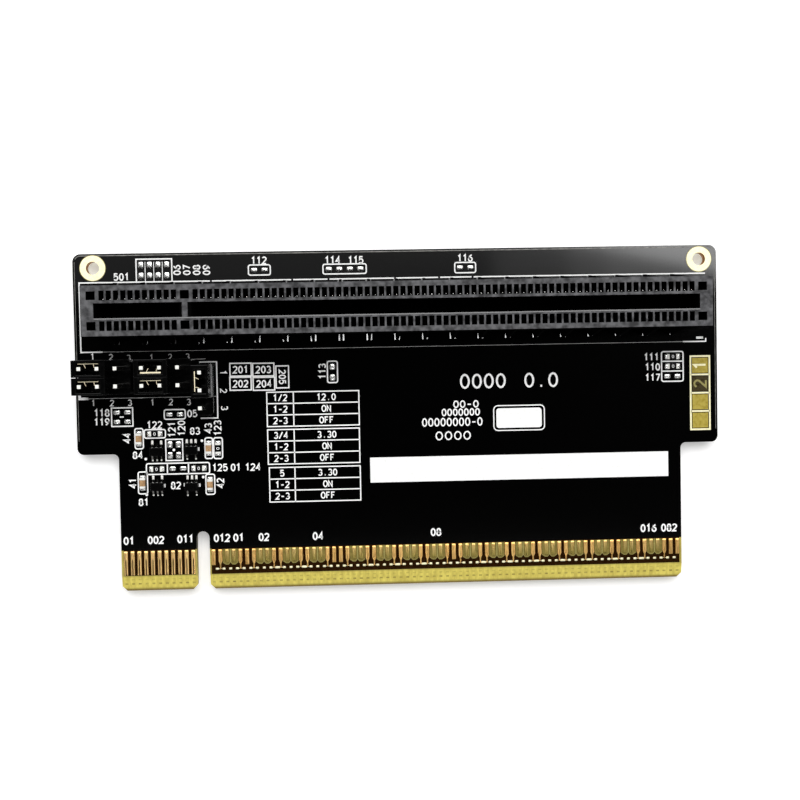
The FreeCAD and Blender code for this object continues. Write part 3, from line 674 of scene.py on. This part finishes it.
# Plated lands round the two mounting holes, and the barrels through them.
lands = {"places": ((-15.25, 48.1), (75.2, 48.1)), "radius": 1.86, "hole": 1.0, "wall": 0.04, "proud": 0.04,
         "clear": 1.94}
landShapes = []
rimShapes = []
barrelShapes = []
for x, y in lands["places"]:
    bore = lands["hole"] - lands["wall"]
    for low, high in ((boardFace, boardFace + lands["proud"]), (-lands["proud"], 0.0)):
        landShapes.append(turned(x, y, plate(bore, low, lands["radius"], high)))
        rimShapes.append(turned(x, y, plate(lands["radius"], low, lands["clear"], (low + high) / 2)))
    barrelShapes.append(turned(x, y, plate(bore, 0.0, lands["hole"], boardFace)))
addPiece("mountingLands", landShapes, softGold)
addPiece("mountingClearances", rimShapes, oliveEdge)
addPiece("mountingBarrels", barrelShapes, barrelGold, smooth=True)

# A painted highlight line just inside the routed edge, wider along the top than down the sides.
edgeSheen = {"inset": 0.28, "round": 1.2, "low": 22.5, "top": 0.13, "side": 0.07, "rise": 0.008}
low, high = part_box("circuit_board")
sheenLeft = low.x / millimetre + edgeSheen["inset"]
sheenRight = high.x / millimetre - edgeSheen["inset"]
sheenTop = high.y / millimetre - edgeSheen["inset"]
turnIn = edgeSheen["round"] - edgeSheen["inset"]
topLine = arc(sheenLeft + turnIn, sheenTop - turnIn, turnIn, turnIn, 150, 90, 4)
topLine += arc(sheenRight - turnIn, sheenTop - turnIn, turnIn, turnIn, 90, 30, 4)
sheenShapes = [ribbon(topLine, edgeSheen["top"], sunk, boardFace + edgeSheen["rise"])]
for x in (sheenLeft, sheenRight):
    sideLine = [(x, edgeSheen["low"]), (x, sheenTop - turnIn)]
    sheenShapes.append(ribbon(sideLine, edgeSheen["side"], sunk, boardFace + edgeSheen["rise"]))
addPiece("edgeSheenLine", sheenShapes, edgeSheenFinish)

# Places for two-ended chips that carry only their solder.
barePads = {
    "level": {"half": (0.48, 0.34), "apart": 0.78,
              "places": ((9.28, 47.47), (20.35, 47.44), (23.5, 47.44), (39.93, 47.36), (71.03, 30.54),
                         (-3.73, 26.28), (-11.49, 26.72), (-11.49, 25.34), (-3.45, 18.2))},
    "upright": {"half": (0.4, 0.5), "apart": 0.8,
                "places": ((19.8, 32.15), (-8.18, 47.66), (-6.91, 47.66), (-5.65, 47.66), (-4.38, 47.66),
                           (-4.56, 20.99), (-3.31, 20.99))},
    "rise": 0.12,
}
padShapes = []
for lie, stepX, stepY in (("level", 1, 0), ("upright", 0, 1)):
    pads = barePads[lie]
    for x, y in pads["places"]:
        for side in (-pads["apart"], pads["apart"]):
            padShapes.append(pillow(x + side * stepX, y + side * stepY, *pads["half"],
                                    boardFace, barePads["rise"]))

# Pads for the leads on each long side of the small chips: three on one side, and two on the other.
# The chips named as sparse have two below. A side gives how far out its pads are, then half their sizes.
leadPads = {"pitch": 0.65, "upper": (1.3, 0.18, 0.36), "lower": (1.3, 0.12, 0.13), "rise": 0.1,
            "sparse": (2, 3)}
footShapes = []
for index in range(1, 5):
    middle, size = measured(f"logic_chip_{index}_body")
    sparse = index in leadPads["sparse"]
    for side, row, full in ((1, leadPads["upper"], sparse), (-1, leadPads["lower"], not sparse)):
        out, halfX, halfY = row
        for step in (-1, 0, 1) if full else (-1, 1):
            footShapes.append(pillow(middle.x + step * leadPads["pitch"], middle.y + side * out,
                                     halfX, halfY, boardFace, leadPads["rise"]))
addPiece("leadPads", footShapes, mattTin, smooth=True)

# Solder that has climbed the ends of each chip capacitor and resistor.
fillet = {"along": 0.3, "across": 0.44, "rise": 0.28, "out": 0.06}
for kind, count in (("capacitor", 4), ("resistor", 6)):
    for index in range(1, count + 1):
        middle, size = measured(f"{kind}_{index}_ends")
        for side in (-1, 1):
            x, y = middle.x, middle.y
            halves = (fillet["along"], fillet["across"])
            if size.x > size.y:
                x += side * (size.x / 2 + fillet["out"])
            else:
                y += side * (size.y / 2 + fillet["out"])
                halves = halves[::-1]
            padShapes.append(pillow(x, y, *halves, boardFace, fillet["rise"]))
addPiece("solderedPads", padShapes, solder, smooth=True)
print("pads and fillets soldered:", len(padShapes))


# Joints on the rear face, one for each slot contact and header pin: solder drawn up to the tail's tip.
joints = {
    "rings": ((0.57, 0.0), (0.47, -0.1), (0.33, -0.35), (0.26, -0.8), (0.2, -1.15), (0.12, -1.27)),
    "tip": -1.3,
    "slotLine": 41.3,
    "inner": 1.25,
    "outer": 3.25,
    "groups": ((-11.95, 11), (1.05, 71)),
    "pitch": 1.0,
    "headers": ((-13.41, 32.0, 3, 2), (-4.63, 32.0, 3, 2), (1.0, 29.93, 1, 3)),
    "pinPitch": 2.54,
}


def solderJoint(x, y):
    return mound(x, y, [(radius, radius, z) for radius, z in joints["rings"]], joints["tip"], steps=14)


slotJoints = []
for first, count in joints["groups"]:
    for i in range(count):
        upper, lower = (joints["inner"], joints["outer"]) if i % 2 else (joints["outer"], joints["inner"])
        x = first + i * joints["pitch"]
        slotJoints += [solderJoint(x, joints["slotLine"] + upper), solderJoint(x, joints["slotLine"] - lower)]
piece = addPiece("slotSolderJoints", slotJoints, solder, smooth=True)
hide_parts("slot_solder_tails")
headerJoints = []
for x, y, columns, rows in joints["headers"]:
    for i in range(columns):
        for j in range(rows):
            headerJoints.append(solderJoint(x + (i - (columns - 1) / 2) * joints["pinPitch"],
                                            y + (j - (rows - 1) / 2) * joints["pinPitch"]))
piece = addPiece("headerSolderJoints", headerJoints, solder, smooth=True)
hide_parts("header_solder_tails")
print("rear joints:", len(slotJoints) + len(headerJoints))


# Jumper clips, replaced by what is seen down each cap: a thin strip along one wall and two bent leaves.
clip = {
    "strip": ((-1.45, 0.7), (1.45, 0.7)),
    "stripWide": (0.055, 0.055, 0.2, 0.055, 0.12),      # the third lies flatter than the others
    "leaf": ((-0.56, 0.64), (-0.46, 0.38), (-0.3, 0.1)),            # springs towards the first pin
    "hook": ((0.82, 0.64), (0.84, 0.4), (0.88, 0.2), (1.0, 0.02)),      # lies against the second
    "leafWide": 0.06,
}
for index, stripWide in enumerate(clip["stripWide"], 1):
    middle = measured(f"jumper_cap_{index}")[0]
    aside = measured(f"jumper_clip_{index}")[0] - middle
    clipLow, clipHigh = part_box(f"jumper_clip_{index}")
    if abs(aside.y) > abs(aside.x):
        along = Vector((1, 0))
        toWall = Vector((0, math.copysign(1, aside.y)))
    else:
        along = Vector((0, -1))
        toWall = Vector((math.copysign(1, aside.x), 0))
    clipShapes = []
    for line, width in (("strip", stripWide), ("leaf", clip["leafWide"]), ("hook", clip["leafWide"])):
        spots = [middle.to_2d() + u * along + v * toWall for u, v in clip[line]]
        clipShapes.append(ribbon(spots, width, clipLow.z / millimetre, clipHigh.z / millimetre))
    piece = addPiece(f"jumperClip{index}", clipShapes, clipFinish)
    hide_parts(f"jumper_clip_{index}")

# Low feet where the slot's ribs meet the board, a raised edge along the mouth, and the springs' tips.
slotTrim = {
    "ribFirst": -11.95,
    "ribStep": 4.15,
    "ribs": 21,
    # out from the middle line, half width and share of the rise
    "toeRows": ((4.54, 0.4, 0.0), (4.52, 0.42, 0.45), (3.6, 0.42, 1.0), (3.53, 0.42, 1.0)),
    "toeRise": 0.32,
    "toeSection": ((-1.0, 0.0), (-0.96, 1.0), (0.96, 1.0), (1.0, 0.0)),
    "mouthHalf": 1.05,
    "mouthEnds": (-13.1, 72.2),
    "edgeWide": 0.18,
    "edgeRise": 0.055,
    "edgeFoot": 0.02,
    "edgeSlope": 0.04,
    "tipLine": 1.62,
    "tipAside": 0.12,
    "tipHalf": 0.13,
    "tipDepth": 0.75,
    "tipRings": ((1.0, -0.2), (1.0, 0.0), (0.7, 0.09)),
    "tipRise": 0.12,
}
slotMiddle = joints["slotLine"]
toeShapes = []
for i in range(slotTrim["ribs"]):
    x = slotTrim["ribFirst"] + i * slotTrim["ribStep"]
    for side in (-1, 1):
        toe = [(slotMiddle + side * out, half, share) for out, half, share in slotTrim["toeRows"]]
        toeShapes.append(crowned(x, toe, boardFace, slotTrim["toeRise"], slotTrim["toeSection"]))
addPiece("slotRibToes", toeShapes, polishedNylon)
left, right = slotTrim["mouthEnds"]
mouthEdge = slotMiddle - slotTrim["mouthHalf"]
ridgeBack = mouthEdge - slotTrim["edgeWide"]
ridgeFoot = slotTop - slotTrim["edgeFoot"]
ridge = [(mouthEdge, ridgeFoot), (mouthEdge, slotTop), (ridgeBack, slotTop + slotTrim["edgeRise"]),
         (ridgeBack - slotTrim["edgeSlope"], ridgeFoot)]
ridgePoints, ridgeFaces = prism(ridge, left, right)
ridgeShape = ([(along, y, z) for y, z, along in ridgePoints], ridgeFaces)
addPiece("slotMouthEdge", [ridgeShape], mouthSheenNylon)
half = slotTrim["tipHalf"]
z = slotTop - slotTrim["tipDepth"]
rings = [(share * half, share * half, z + lift) for share, lift in slotTrim["tipRings"]]
tipShapes = []
for first, count in joints["groups"]:
    for i in range(count):
        x = first + i * joints["pitch"] + slotTrim["tipAside"]
        tipShapes.append(mound(x, slotMiddle + slotTrim["tipLine"], rings, z + slotTrim["tipRise"], steps=10))
addPiece("slotSpringTips", tipShapes, solder, smooth=True)
print("clips and slot trim:", len(clip["stripWide"]) + len(toeShapes) + len(tipShapes))


# Printed legend: outlines of the places on the board.
legend = {"low": sunk, "high": boardFace + 0.025, "line": 0.19, "thin": 0.05, "fine": 0.1, "thick": 0.36,
          "radius": 0.28, "dot": 0.2}


def printed(lines, width):
    return [ribbon(line, width, legend["low"], legend["high"]) for line in lines]


# the upper line has short gaps, and the lower one is thin between its inner ends
slotOutline = {"left": -17.28, "right": 76.15, "bottom": 35.71, "top": 45.96, "inner": (-14.1, 72.7),
               "breaks": (2.1, 14.1, 19.5, 29.4, 36.0, 41.0), "gap": 0.3, "hook": 0.5}
outlines = {
    "rounded": ((-9.69, 21.26, -8.48, 24.27), (0.63, 19.6, 1.74, 22.69), (-9.37, 14.53, -8.01, 17.8),
                (0.63, 14.24, 1.94, 17.24), (-8.3, 22.82, -5.18, 24.07), (1.92, 19.56, 3.2, 22.67),
                (-8.13, 17.4, 1.22, 19.01), (7.66, 46.72, 10.9, 48.22), (18.71, 46.71, 25.14, 48.16),
                (38.36, 46.59, 41.49, 48.12), (69.39, 29.77, 72.67, 34.25), (-5.29, 25.57, -2.18, 26.99),
                (19.05, 30.55, 20.55, 33.75)),
    "square": ((-5.18, 19.42, -2.69, 22.56), (-13.05, 24.66, -9.93, 27.4), (4.58, 31.79, 7.73, 33.69),
               (7.96, 31.73, 11.11, 33.63), (4.54, 29.69, 7.68, 31.6), (7.97, 29.62, 11.17, 31.53),
               (11.39, 29.91, 13.27, 33.18)),
    "lines": (((0.1, 25.62), (2.63, 25.62), (2.63, 33.98), (0.05, 33.98)),
              ((-8.86, 46.06), (-8.86, 49.32), (-3.63, 49.32), (-3.63, 46.06)),
              ((74.7, 36.2), (75.75, 36.2)), ((74.7, 36.34), (75.75, 36.34)),
              ((69.39, 32.79), (72.67, 32.79)), ((69.39, 31.31), (72.67, 31.31)),
              ((-5.02, 17.4), (-5.02, 19.01)), ((-1.9, 17.4), (-1.9, 19.01)),
              ((-0.3, 20.8), (-0.3, 21.3)), ((-5.45, 15.45), (-5.45, 15.95)), ((-0.28, 15.4), (-0.28, 15.9)),
              ((-2.57, 15.5), (-2.57, 16.0)), ((-11.85, 26.04), (-11.25, 26.04)),
              ((-17.95, 32.05), (-17.3, 32.05))),
    "thin": [((-17.66, 34.43), (-17.66, 28.84), (2.44, 28.84)), ((-17.66, 34.43), (1.0, 34.43))],
    "fine": (((-7.55, 46.06), (-7.55, 48.9)), ((-6.28, 46.06), (-6.28, 48.9)),
             ((-5.02, 46.06), (-5.02, 48.9))),
    "corner": ((-17.66, 29.6), (-17.66, 28.84), (-16.4, 28.84)),
    "dots": ((-8.18, 19.72), (0.19, 22.27), (0.25, 16.85), (-8.17, 14.38), (-4.0, 20.99)),
}
lines = [frameLine(*corners, legend["radius"]) for corners in outlines["rounded"]]
lines += [frameLine(*corners) for corners in outlines["square"]]
lines += outlines["lines"]
left, right = slotOutline["left"], slotOutline["right"]
bottom, top = slotOutline["bottom"], slotOutline["top"]
innerLeft, innerRight = slotOutline["inner"]
breaks = slotOutline["breaks"]
gap = slotOutline["gap"] / 2
lines += [[(breaks[0] - gap, top), (left, top), (left, bottom), (innerLeft, bottom)],
          [(breaks[-1] + gap, top), (right, top)],
          [(right, bottom + slotOutline["hook"]), (right, bottom), (innerRight, bottom)]]
lines += [[(start + gap, top), (end - gap, top)] for start, end in zip(breaks, breaks[1:])]
lineShapes = printed(lines, legend["line"])
lineShapes += printed(outlines["thin"] + [((innerLeft, bottom), (innerRight, bottom))], legend["thin"])
lineShapes += printed(outlines["fine"], legend["fine"])
lineShapes += printed([outlines["corner"]], legend["thick"])
dot = [(legend["dot"], legend["dot"], z) for z in (legend["low"], legend["high"])]
lineShapes += [mound(x, y, dot, legend["high"]) for x, y in outlines["dots"]]
addPiece("legendOutlines", lineShapes, ink)

# strokes of each figure in a box 1 high, and the type's proportions as shares of the height
typeface = {"wide": 0.6, "advance": 0.84, "stroke": 0.2}
figures = {
    "0": [arc(0.3, 0.5, 0.28, 0.5, 90, 450, 16)],
    "1": [[(0.1, 0.78), (0.34, 1), (0.34, 0)]],
    "2": [arc(0.3, 0.72, 0.28, 0.28, 160, -30, 8) + [(0.02, 0), (0.58, 0)]],
    "3": [arc(0.28, 0.75, 0.26, 0.25, 150, -70, 8) + arc(0.28, 0.27, 0.3, 0.27, 70, -150, 8)],
    "4": [[(0.44, 0), (0.44, 1), (0.02, 0.32), (0.6, 0.32)]],
    "5": [[(0.54, 1), (0.1, 1), (0.06, 0.55)] + arc(0.27, 0.33, 0.31, 0.33, 115, -145, 9)],
    "6": [[(0.5, 1), (0.2, 0.74)] + arc(0.3, 0.3, 0.28, 0.3, 165, 520, 14)],
    "7": [[(0.02, 1), (0.58, 1), (0.2, 0)]],
    "8": [arc(0.3, 0.76, 0.23, 0.24, 90, 450, 12), arc(0.3, 0.27, 0.28, 0.27, 90, 450, 12)],
    "9": [[(0.1, 0), (0.4, 0.26)] + arc(0.3, 0.7, 0.28, 0.3, -15, 340, 14)],
    "-": [[(0.08, 0.45), (0.52, 0.45)]],
    "/": [[(0.02, -0.05), (0.56, 1.05)]],
    ".": [[(0.24, 0.05), (0.36, 0.05)]],
    "O": [arc(0.3, 0.5, 0.32, 0.5, 90, 450, 16)],
    "N": [[(0.02, 0), (0.02, 1), (0.58, 0), (0.58, 1)]],
    "F": [[(0.06, 0), (0.06, 1), (0.56, 1)], [(0.06, 0.52), (0.46, 0.52)]],
}


def written(text, x, y, height, turn=0, line=None, stretch=1.0, low=legend["low"]):
    # figures about a middle point, turned in degrees
    width = typeface["wide"] * height * stretch
    advance = typeface["advance"] * height * stretch
    start = -(advance * (len(text) - 1) + width) / 2
    spin = Matrix.Rotation(math.radians(turn), 2)
    high = low + legend["high"] - legend["low"]
    shapes = []
    for place, figure in enumerate(text):
        for stroke in figures[figure]:
            spots = []
            for u, v in stroke:
                spot = spin @ Vector((start + place * advance + u * height * stretch, (v - 0.5) * height))
                spots.append((x + spot.x, y + spot.y))
            shapes.append(ribbon(spots, line or typeface["stroke"] * height, low, high))
    return shapes


# Plain numbers: beside the places of the parts, at the header pins and above the edge contacts.
numbers = {
    "level": (("501", -11.06, 46.75), ("112", 9.23, 48.89), ("114", 20.15, 48.78), ("115", 23.6, 48.73),
              ("116", 39.92, 48.78), ("118", -14.48, 26.7), ("119", -14.51, 25.36), ("05", -1.14, 26.35),
              ("122", -6.77, 24.76), ("83", -0.81, 23.74), ("84", -9.35, 20.31), ("125", 2.76, 18.21),
              ("01", 5.11, 18.19), ("124", 7.65, 18.18), ("82", -3.83, 15.68), ("81", -8.65, 13.28),
              ("111", 67.85, 33.48), ("110", 68.01, 31.97), ("117", 68.0, 30.39)),
    "rank": (("01", -10.98, 7.54), ("002", -6.99, 7.59), ("011", -2.61, 7.63), ("012", 2.81, 7.65),
             ("01", 5.29, 7.65), ("02", 9.06, 7.65), ("04", 17.13, 7.6), ("08", 34.86, 7.77),
             ("016", 67.13, 7.6), ("082", 70.27, 7.6)),
    "upright": (("06", -2.87, 47.65), ("07", -1.43, 47.63), ("08", 0.02, 47.61), ("09", 1.48, 47.59),
                ("44", -10.87, 22.88), ("121", -4.23, 24.03), ("120", -2.79, 24.2), ("43", 1.17, 24.11),
                ("123", 2.56, 24.12), ("41", -10.18, 16.14), ("42", 2.78, 15.89), ("113", 18.29, 32.26)),
    "pins": (("1", -15.61, 35.08), ("2", -12.93, 34.94), ("3", -10.28, 34.79), ("1", -6.94, 34.77),
             ("2", -4.22, 34.81), ("3", -1.63, 34.82), ("1", -15.67, 28.19), ("2", -12.94, 28.14),
             ("3", -10.31, 28.13), ("1", -6.98, 28.11), ("2", -4.24, 28.13), ("3", -1.62, 28.07)),
    "sidePins": (("1", 3.59, 32.36), ("2", 3.57, 29.64), ("3", 3.64, 27.08)),
    "labels": (("201", 6.15, 32.74), ("203", 9.53, 32.68), ("202", 6.11, 30.64), ("204", 9.57, 30.57)),
    "sideLabel": (("205", 12.33, 31.55),),
    "large": (("0000", 42.3, 30.35), ("0.0", 51.1, 30.35)),
}
# height and turn of each kind, then its stroke and its stretch where they are not the usual ones
numberStyles = {"level": (0.95, 0), "rank": (1.0, 0, 0.22), "upright": (0.95, 90), "pins": (0.85, 0, 0.14),
                "sidePins": (0.9, -90, 0.16), "labels": (0.95, 0), "sideLabel": (0.9, -90),
                "large": (1.95, 0, 0.3, 1.1)}
numberShapes = []
for kind, style in numberStyles.items():
    for number in numbers[kind]:
        numberShapes += written(*number, *style)
addPiece("legendNumbers", numberShapes, ink)

# a zero printed on each chip resistor
mark = {"height": 0.42, "line": 0.07, "stretch": 1.2, "sink": 0.01}
markShapes = []
for index in range(1, 7):
    name = f"resistor_{index}_body"
    middle, size = measured(name)
    turn = 90 if size.y > size.x else 0
    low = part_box(name)[1].z / millimetre - mark["sink"]
    markShapes += written("0", middle.x, middle.y, mark["height"], turn, mark["line"], mark["stretch"], low)
addPiece("resistorMarks", markShapes, ink)

# three small tables: a heading, then a row for each jumper position
tables = {
    "column": 13.9,
    "height": 0.88,
    "line": 0.17,
    "frames": ((9.95, 24.16, 23.66, 29.29), (9.96, 18.53, 23.64, 23.69), (10.09, 12.87, 23.66, 18.02)),
    "rows": ((("1/2", "12.0"), ("1-2", "ON"), ("2-3", "OFF")),
             (("3/4", "3.30"), ("1-2", "ON"), ("2-3", "OFF")),
             (("5", "3.30"), ("1-2", "ON"), ("2-3", "OFF"))),
}
tableShapes = []
for (left, bottom, right, top), rows in zip(tables["frames"], tables["rows"]):
    step = (top - bottom) / len(rows)
    tableLines = [frameLine(left, bottom, right, top), [(tables["column"], bottom), (tables["column"], top)]]
    tableLines += [[(left, bottom + k * step), (right, bottom + k * step)] for k in range(1, len(rows))]
    tableShapes += printed(tableLines, tables["line"])
    for k, (first, second) in enumerate(rows):
        y = top - (k + 0.5) * step
        tableShapes += written(first, (left + tables["column"]) / 2, y, tables["height"])
        tableShapes += written(second, (right + tables["column"]) / 2, y, tables["height"])
addPiece("legendTables", tableShapes, ink)

# a block kept clear for a label, a framed clear block, and placeholder lines beside it
blocks = {
    "label": (25.17, 15.45, 70.24, 19.2),
    "clear": (44.25, 23.25, 51.1, 26.2, 0.4),
    "frame": (43.86, 22.87, 51.51, 26.6, 0.6),
    "frameLine": 0.16,
    "lines": (("00-0", 39.7, 26.95, 0.95, 1.25), ("0000000", 38.9, 25.75, 0.95, 1.05),
              ("00000000-0", 37.6, 24.3, 1.1, 1.0), ("0000", 37.7, 22.25, 1.15, 1.45)),
}
blockShapes = [prism(outline, legend["low"], legend["high"])
               for outline in (plate(*blocks["label"]), frameLine(*blocks["clear"])[:-1])]
blockShapes += printed([frameLine(*blocks["frame"])], blocks["frameLine"])
for text, x, y, height, stretch in blocks["lines"]:
    blockShapes += written(text, x, y, height, 0, legend["line"], stretch)
addPiece("legendBlocks", blockShapes, ink)
strokes = len(lineShapes) + len(numberShapes) + len(tableShapes) + len(blockShapes)
print("legend printed:", strokes, "strokes")


# Layer strip: four windows in the mask, framed in ink, with a layer's number in the first two.
strip = {"left": 73.79, "right": 76.68, "bottom": 22.43, "top": 33.48, "line": 0.26, "inset": 0.25,
         "rise": 0.012, "windows": 4, "height": 1.75, "stroke": 0.3, "darkStroke": 0.28}
left, right, inset = strip["left"], strip["right"], strip["inset"]
step = (strip["top"] - strip["bottom"]) / strip["windows"]
rowTops = [strip["top"] - k * step for k in range(strip["windows"])]
windows = [sheet(plate(left + inset, top - step + inset, right - inset, top - inset), strip["rise"])
           for top in rowTops]
addPiece("layerWindows", [windows[0], windows[2], windows[3]], clearWindow)
addPiece("layerWindowDark", [windows[1]], copperWindow)
stripLines = [frameLine(left, strip["bottom"], right, strip["top"])]
stripLines += [[(left, top), (right, top)] for top in rowTops[1:]]
stripShapes = printed(stripLines, strip["line"])
middle = (left + right) / 2
stripShapes += written("1", middle, rowTops[0] - step / 2, strip["height"], 90, strip["stroke"])
addPiece("layerFrame", stripShapes, creamInk)
layerNumber = written("2", middle, rowTops[1] - step / 2, strip["height"], 90, strip["darkStroke"])
addPiece("layerNumber", layerNumber, oliveEdge)
print("layer strip placed")


# White paper under the board. It glows a little to the camera and to reflections, so that it reads white
# and keeps the shadow.
floorSheet = {"reach": 1600, "height": -1.3, "colour": "#f7f7f7", "glow": 0.28, "farGlow": 1.0, "near": 90,
              "far": 700, "fibre": 3.0, "roughness": (0.8, 0.95)}
reach = floorSheet["reach"] * millimetre
level = floorSheet["height"] * millimetre
floorMesh = bpy.data.meshes.new("paperFloor")
floorMesh.from_pydata([(x, y, level) for x, y in plate(-reach, -reach, reach, reach)], [], [(0, 1, 2, 3)])
paper, add, place = newMaterial("whitePaper")
rays = add("LightPath", None, None)
seen = add("Math", {0: rays["Is Camera Ray"], 1: rays["Is Glossy Ray"]}, operation="ADD")
seen = add("Math", {0: seen, 1: rays["Is Transmission Ray"]}, operation="ADD")
away = add("VectorMath", {0: place}, "Value", operation="LENGTH")
near, far = floorSheet["near"] * millimetre, floorSheet["far"] * millimetre
fade = add("MapRange", {0: away, 1: near, 2: far, 3: floorSheet["glow"], 4: floorSheet["farGlow"]})
glow = add("Math", {0: seen, 1: fade}, operation="MULTIPLY")
fibre = add("TexNoise", {"Vector": place, "Scale": perMetre / floorSheet["fibre"], "Detail": 3})
low, high = floorSheet["roughness"]
dull = add("MapRange", {0: fibre, 3: low, 4: high})
shader = add("BsdfPrincipled", {"Base Color": linear(floorSheet["colour"]), "Roughness": dull,
                                "Specular IOR Level": 0.1, "Emission Color": linear("#ffffff"),
                                "Emission Strength": glow})
add("OutputMaterial", {"Surface": shader}, None)
floorMesh.materials.append(paper)
floor = bpy.data.objects.new("paperFloor", floorMesh)
scene.collection.objects.link(floor)

# Soft studio: dark overhead so that the mask stays black, white near the horizon. Each level has the height
# of the direction and the brightness there.
skyLevels = ((0.0, 1.0), (0.1, 1.0), (0.2, 0.32), (0.75, 0.25), (0.9, 0.03), (1.0, 0.004))
world = bpy.data.worlds.new("studio")
scene.world = world
world.use_nodes = True
sky = world.node_tree
sky.nodes.clear()
height = addNode(sky, "SeparateXYZ", {0: addNode(sky, "TexCoord", None, "Generated")}, "Z")
band = addNode(sky, "ValToRGB", {"Fac": height})
ramp = band.node.color_ramp.elements
for position, level in skyLevels[1:-1]:
    ramp.new(position)
for element, (position, level) in zip(ramp, skyLevels):
    element.position = position
    element.color = (level, level, level, 1)
addNode(sky, "OutputWorld", {"Surface": addNode(sky, "Background", {"Color": band})}, None)

# place, aim, size, brightness and roll of each soft panel
panels = {
    "key": {"place": (20, 335, 560), "aim": (30, 30, 0), "size": (700, 420), "glow": 5.1, "roll": -14},
    "frontCard": {"place": (40, -200, 600), "aim": (40, 10, 0), "size": (520, 220), "glow": 0.76, "roll": 0},
    "backCard": {"place": (20, 125, 605), "aim": (20, 125, 0), "size": (520, 90), "glow": 0.3, "roll": 0},
    "spark": {"place": (67, -183, 590), "aim": (67, 30, 0), "size": (330, 10), "glow": 24, "roll": 0},
}
# strips that overlap, so that the light on the upper right of the board fades in
sideCards = {"count": 4, "left": 115, "step": 24, "right": 350, "y": 93, "z": 604, "wide": 26, "glow": 0.4}
for i in range(sideCards["count"]):
    left = sideCards["left"] + i * sideCards["step"]
    middle = (left + sideCards["right"]) / 2
    panels[f"sideCard{i}"] = {
        "place": (middle, sideCards["y"], sideCards["z"] + i), "aim": (middle, sideCards["y"], 0),
        "size": (sideCards["right"] - left, sideCards["wide"]), "glow": sideCards["glow"], "roll": 0}
for name, panel in panels.items():
    lamp = bpy.data.lights.new(name, "AREA")
    lamp.shape = "RECTANGLE"
    lamp.size = panel["size"][0] * millimetre
    lamp.size_y = panel["size"][1] * millimetre
    lamp.energy = panel["glow"] * math.pi * lamp.size * lamp.size_y
    light = bpy.data.objects.new(name, lamp)
    light.location = Vector(panel["place"]) * millimetre
    toAim = (Vector(panel["aim"]) - Vector(panel["place"])).to_track_quat("-Z", "Y")
    light.rotation_mode = "QUATERNION"
    light.rotation_quaternion = Matrix.Rotation(math.radians(panel["roll"]), 3, "Z").to_quaternion() @ toAim
    light.visible_camera = False
    scene.collection.objects.link(light)

# Almost straight above, as the photograph was taken.
view = {"place": (22.096, 33.311, 189.359), "turn": (-2.11799, -2.38375, -1.06728), "lens": 56.52,
        "shift": 0.0128, "sensor": 36, "nearest": 10}
camera = bpy.data.cameras.new("camera")
camera.lens = view["lens"]
camera.sensor_width = view["sensor"]
camera.shift_y = view["shift"]
camera.clip_start = view["nearest"] * millimetre
cameraObject = bpy.data.objects.new("camera", camera)
cameraObject.location = Vector(view["place"]) * millimetre
cameraObject.rotation_euler = [math.radians(angle) for angle in view["turn"]]
scene.collection.objects.link(cameraObject)
scene.camera = cameraObject
scene.view_settings.view_transform = "Standard"
print("floor, lamps and camera placed")
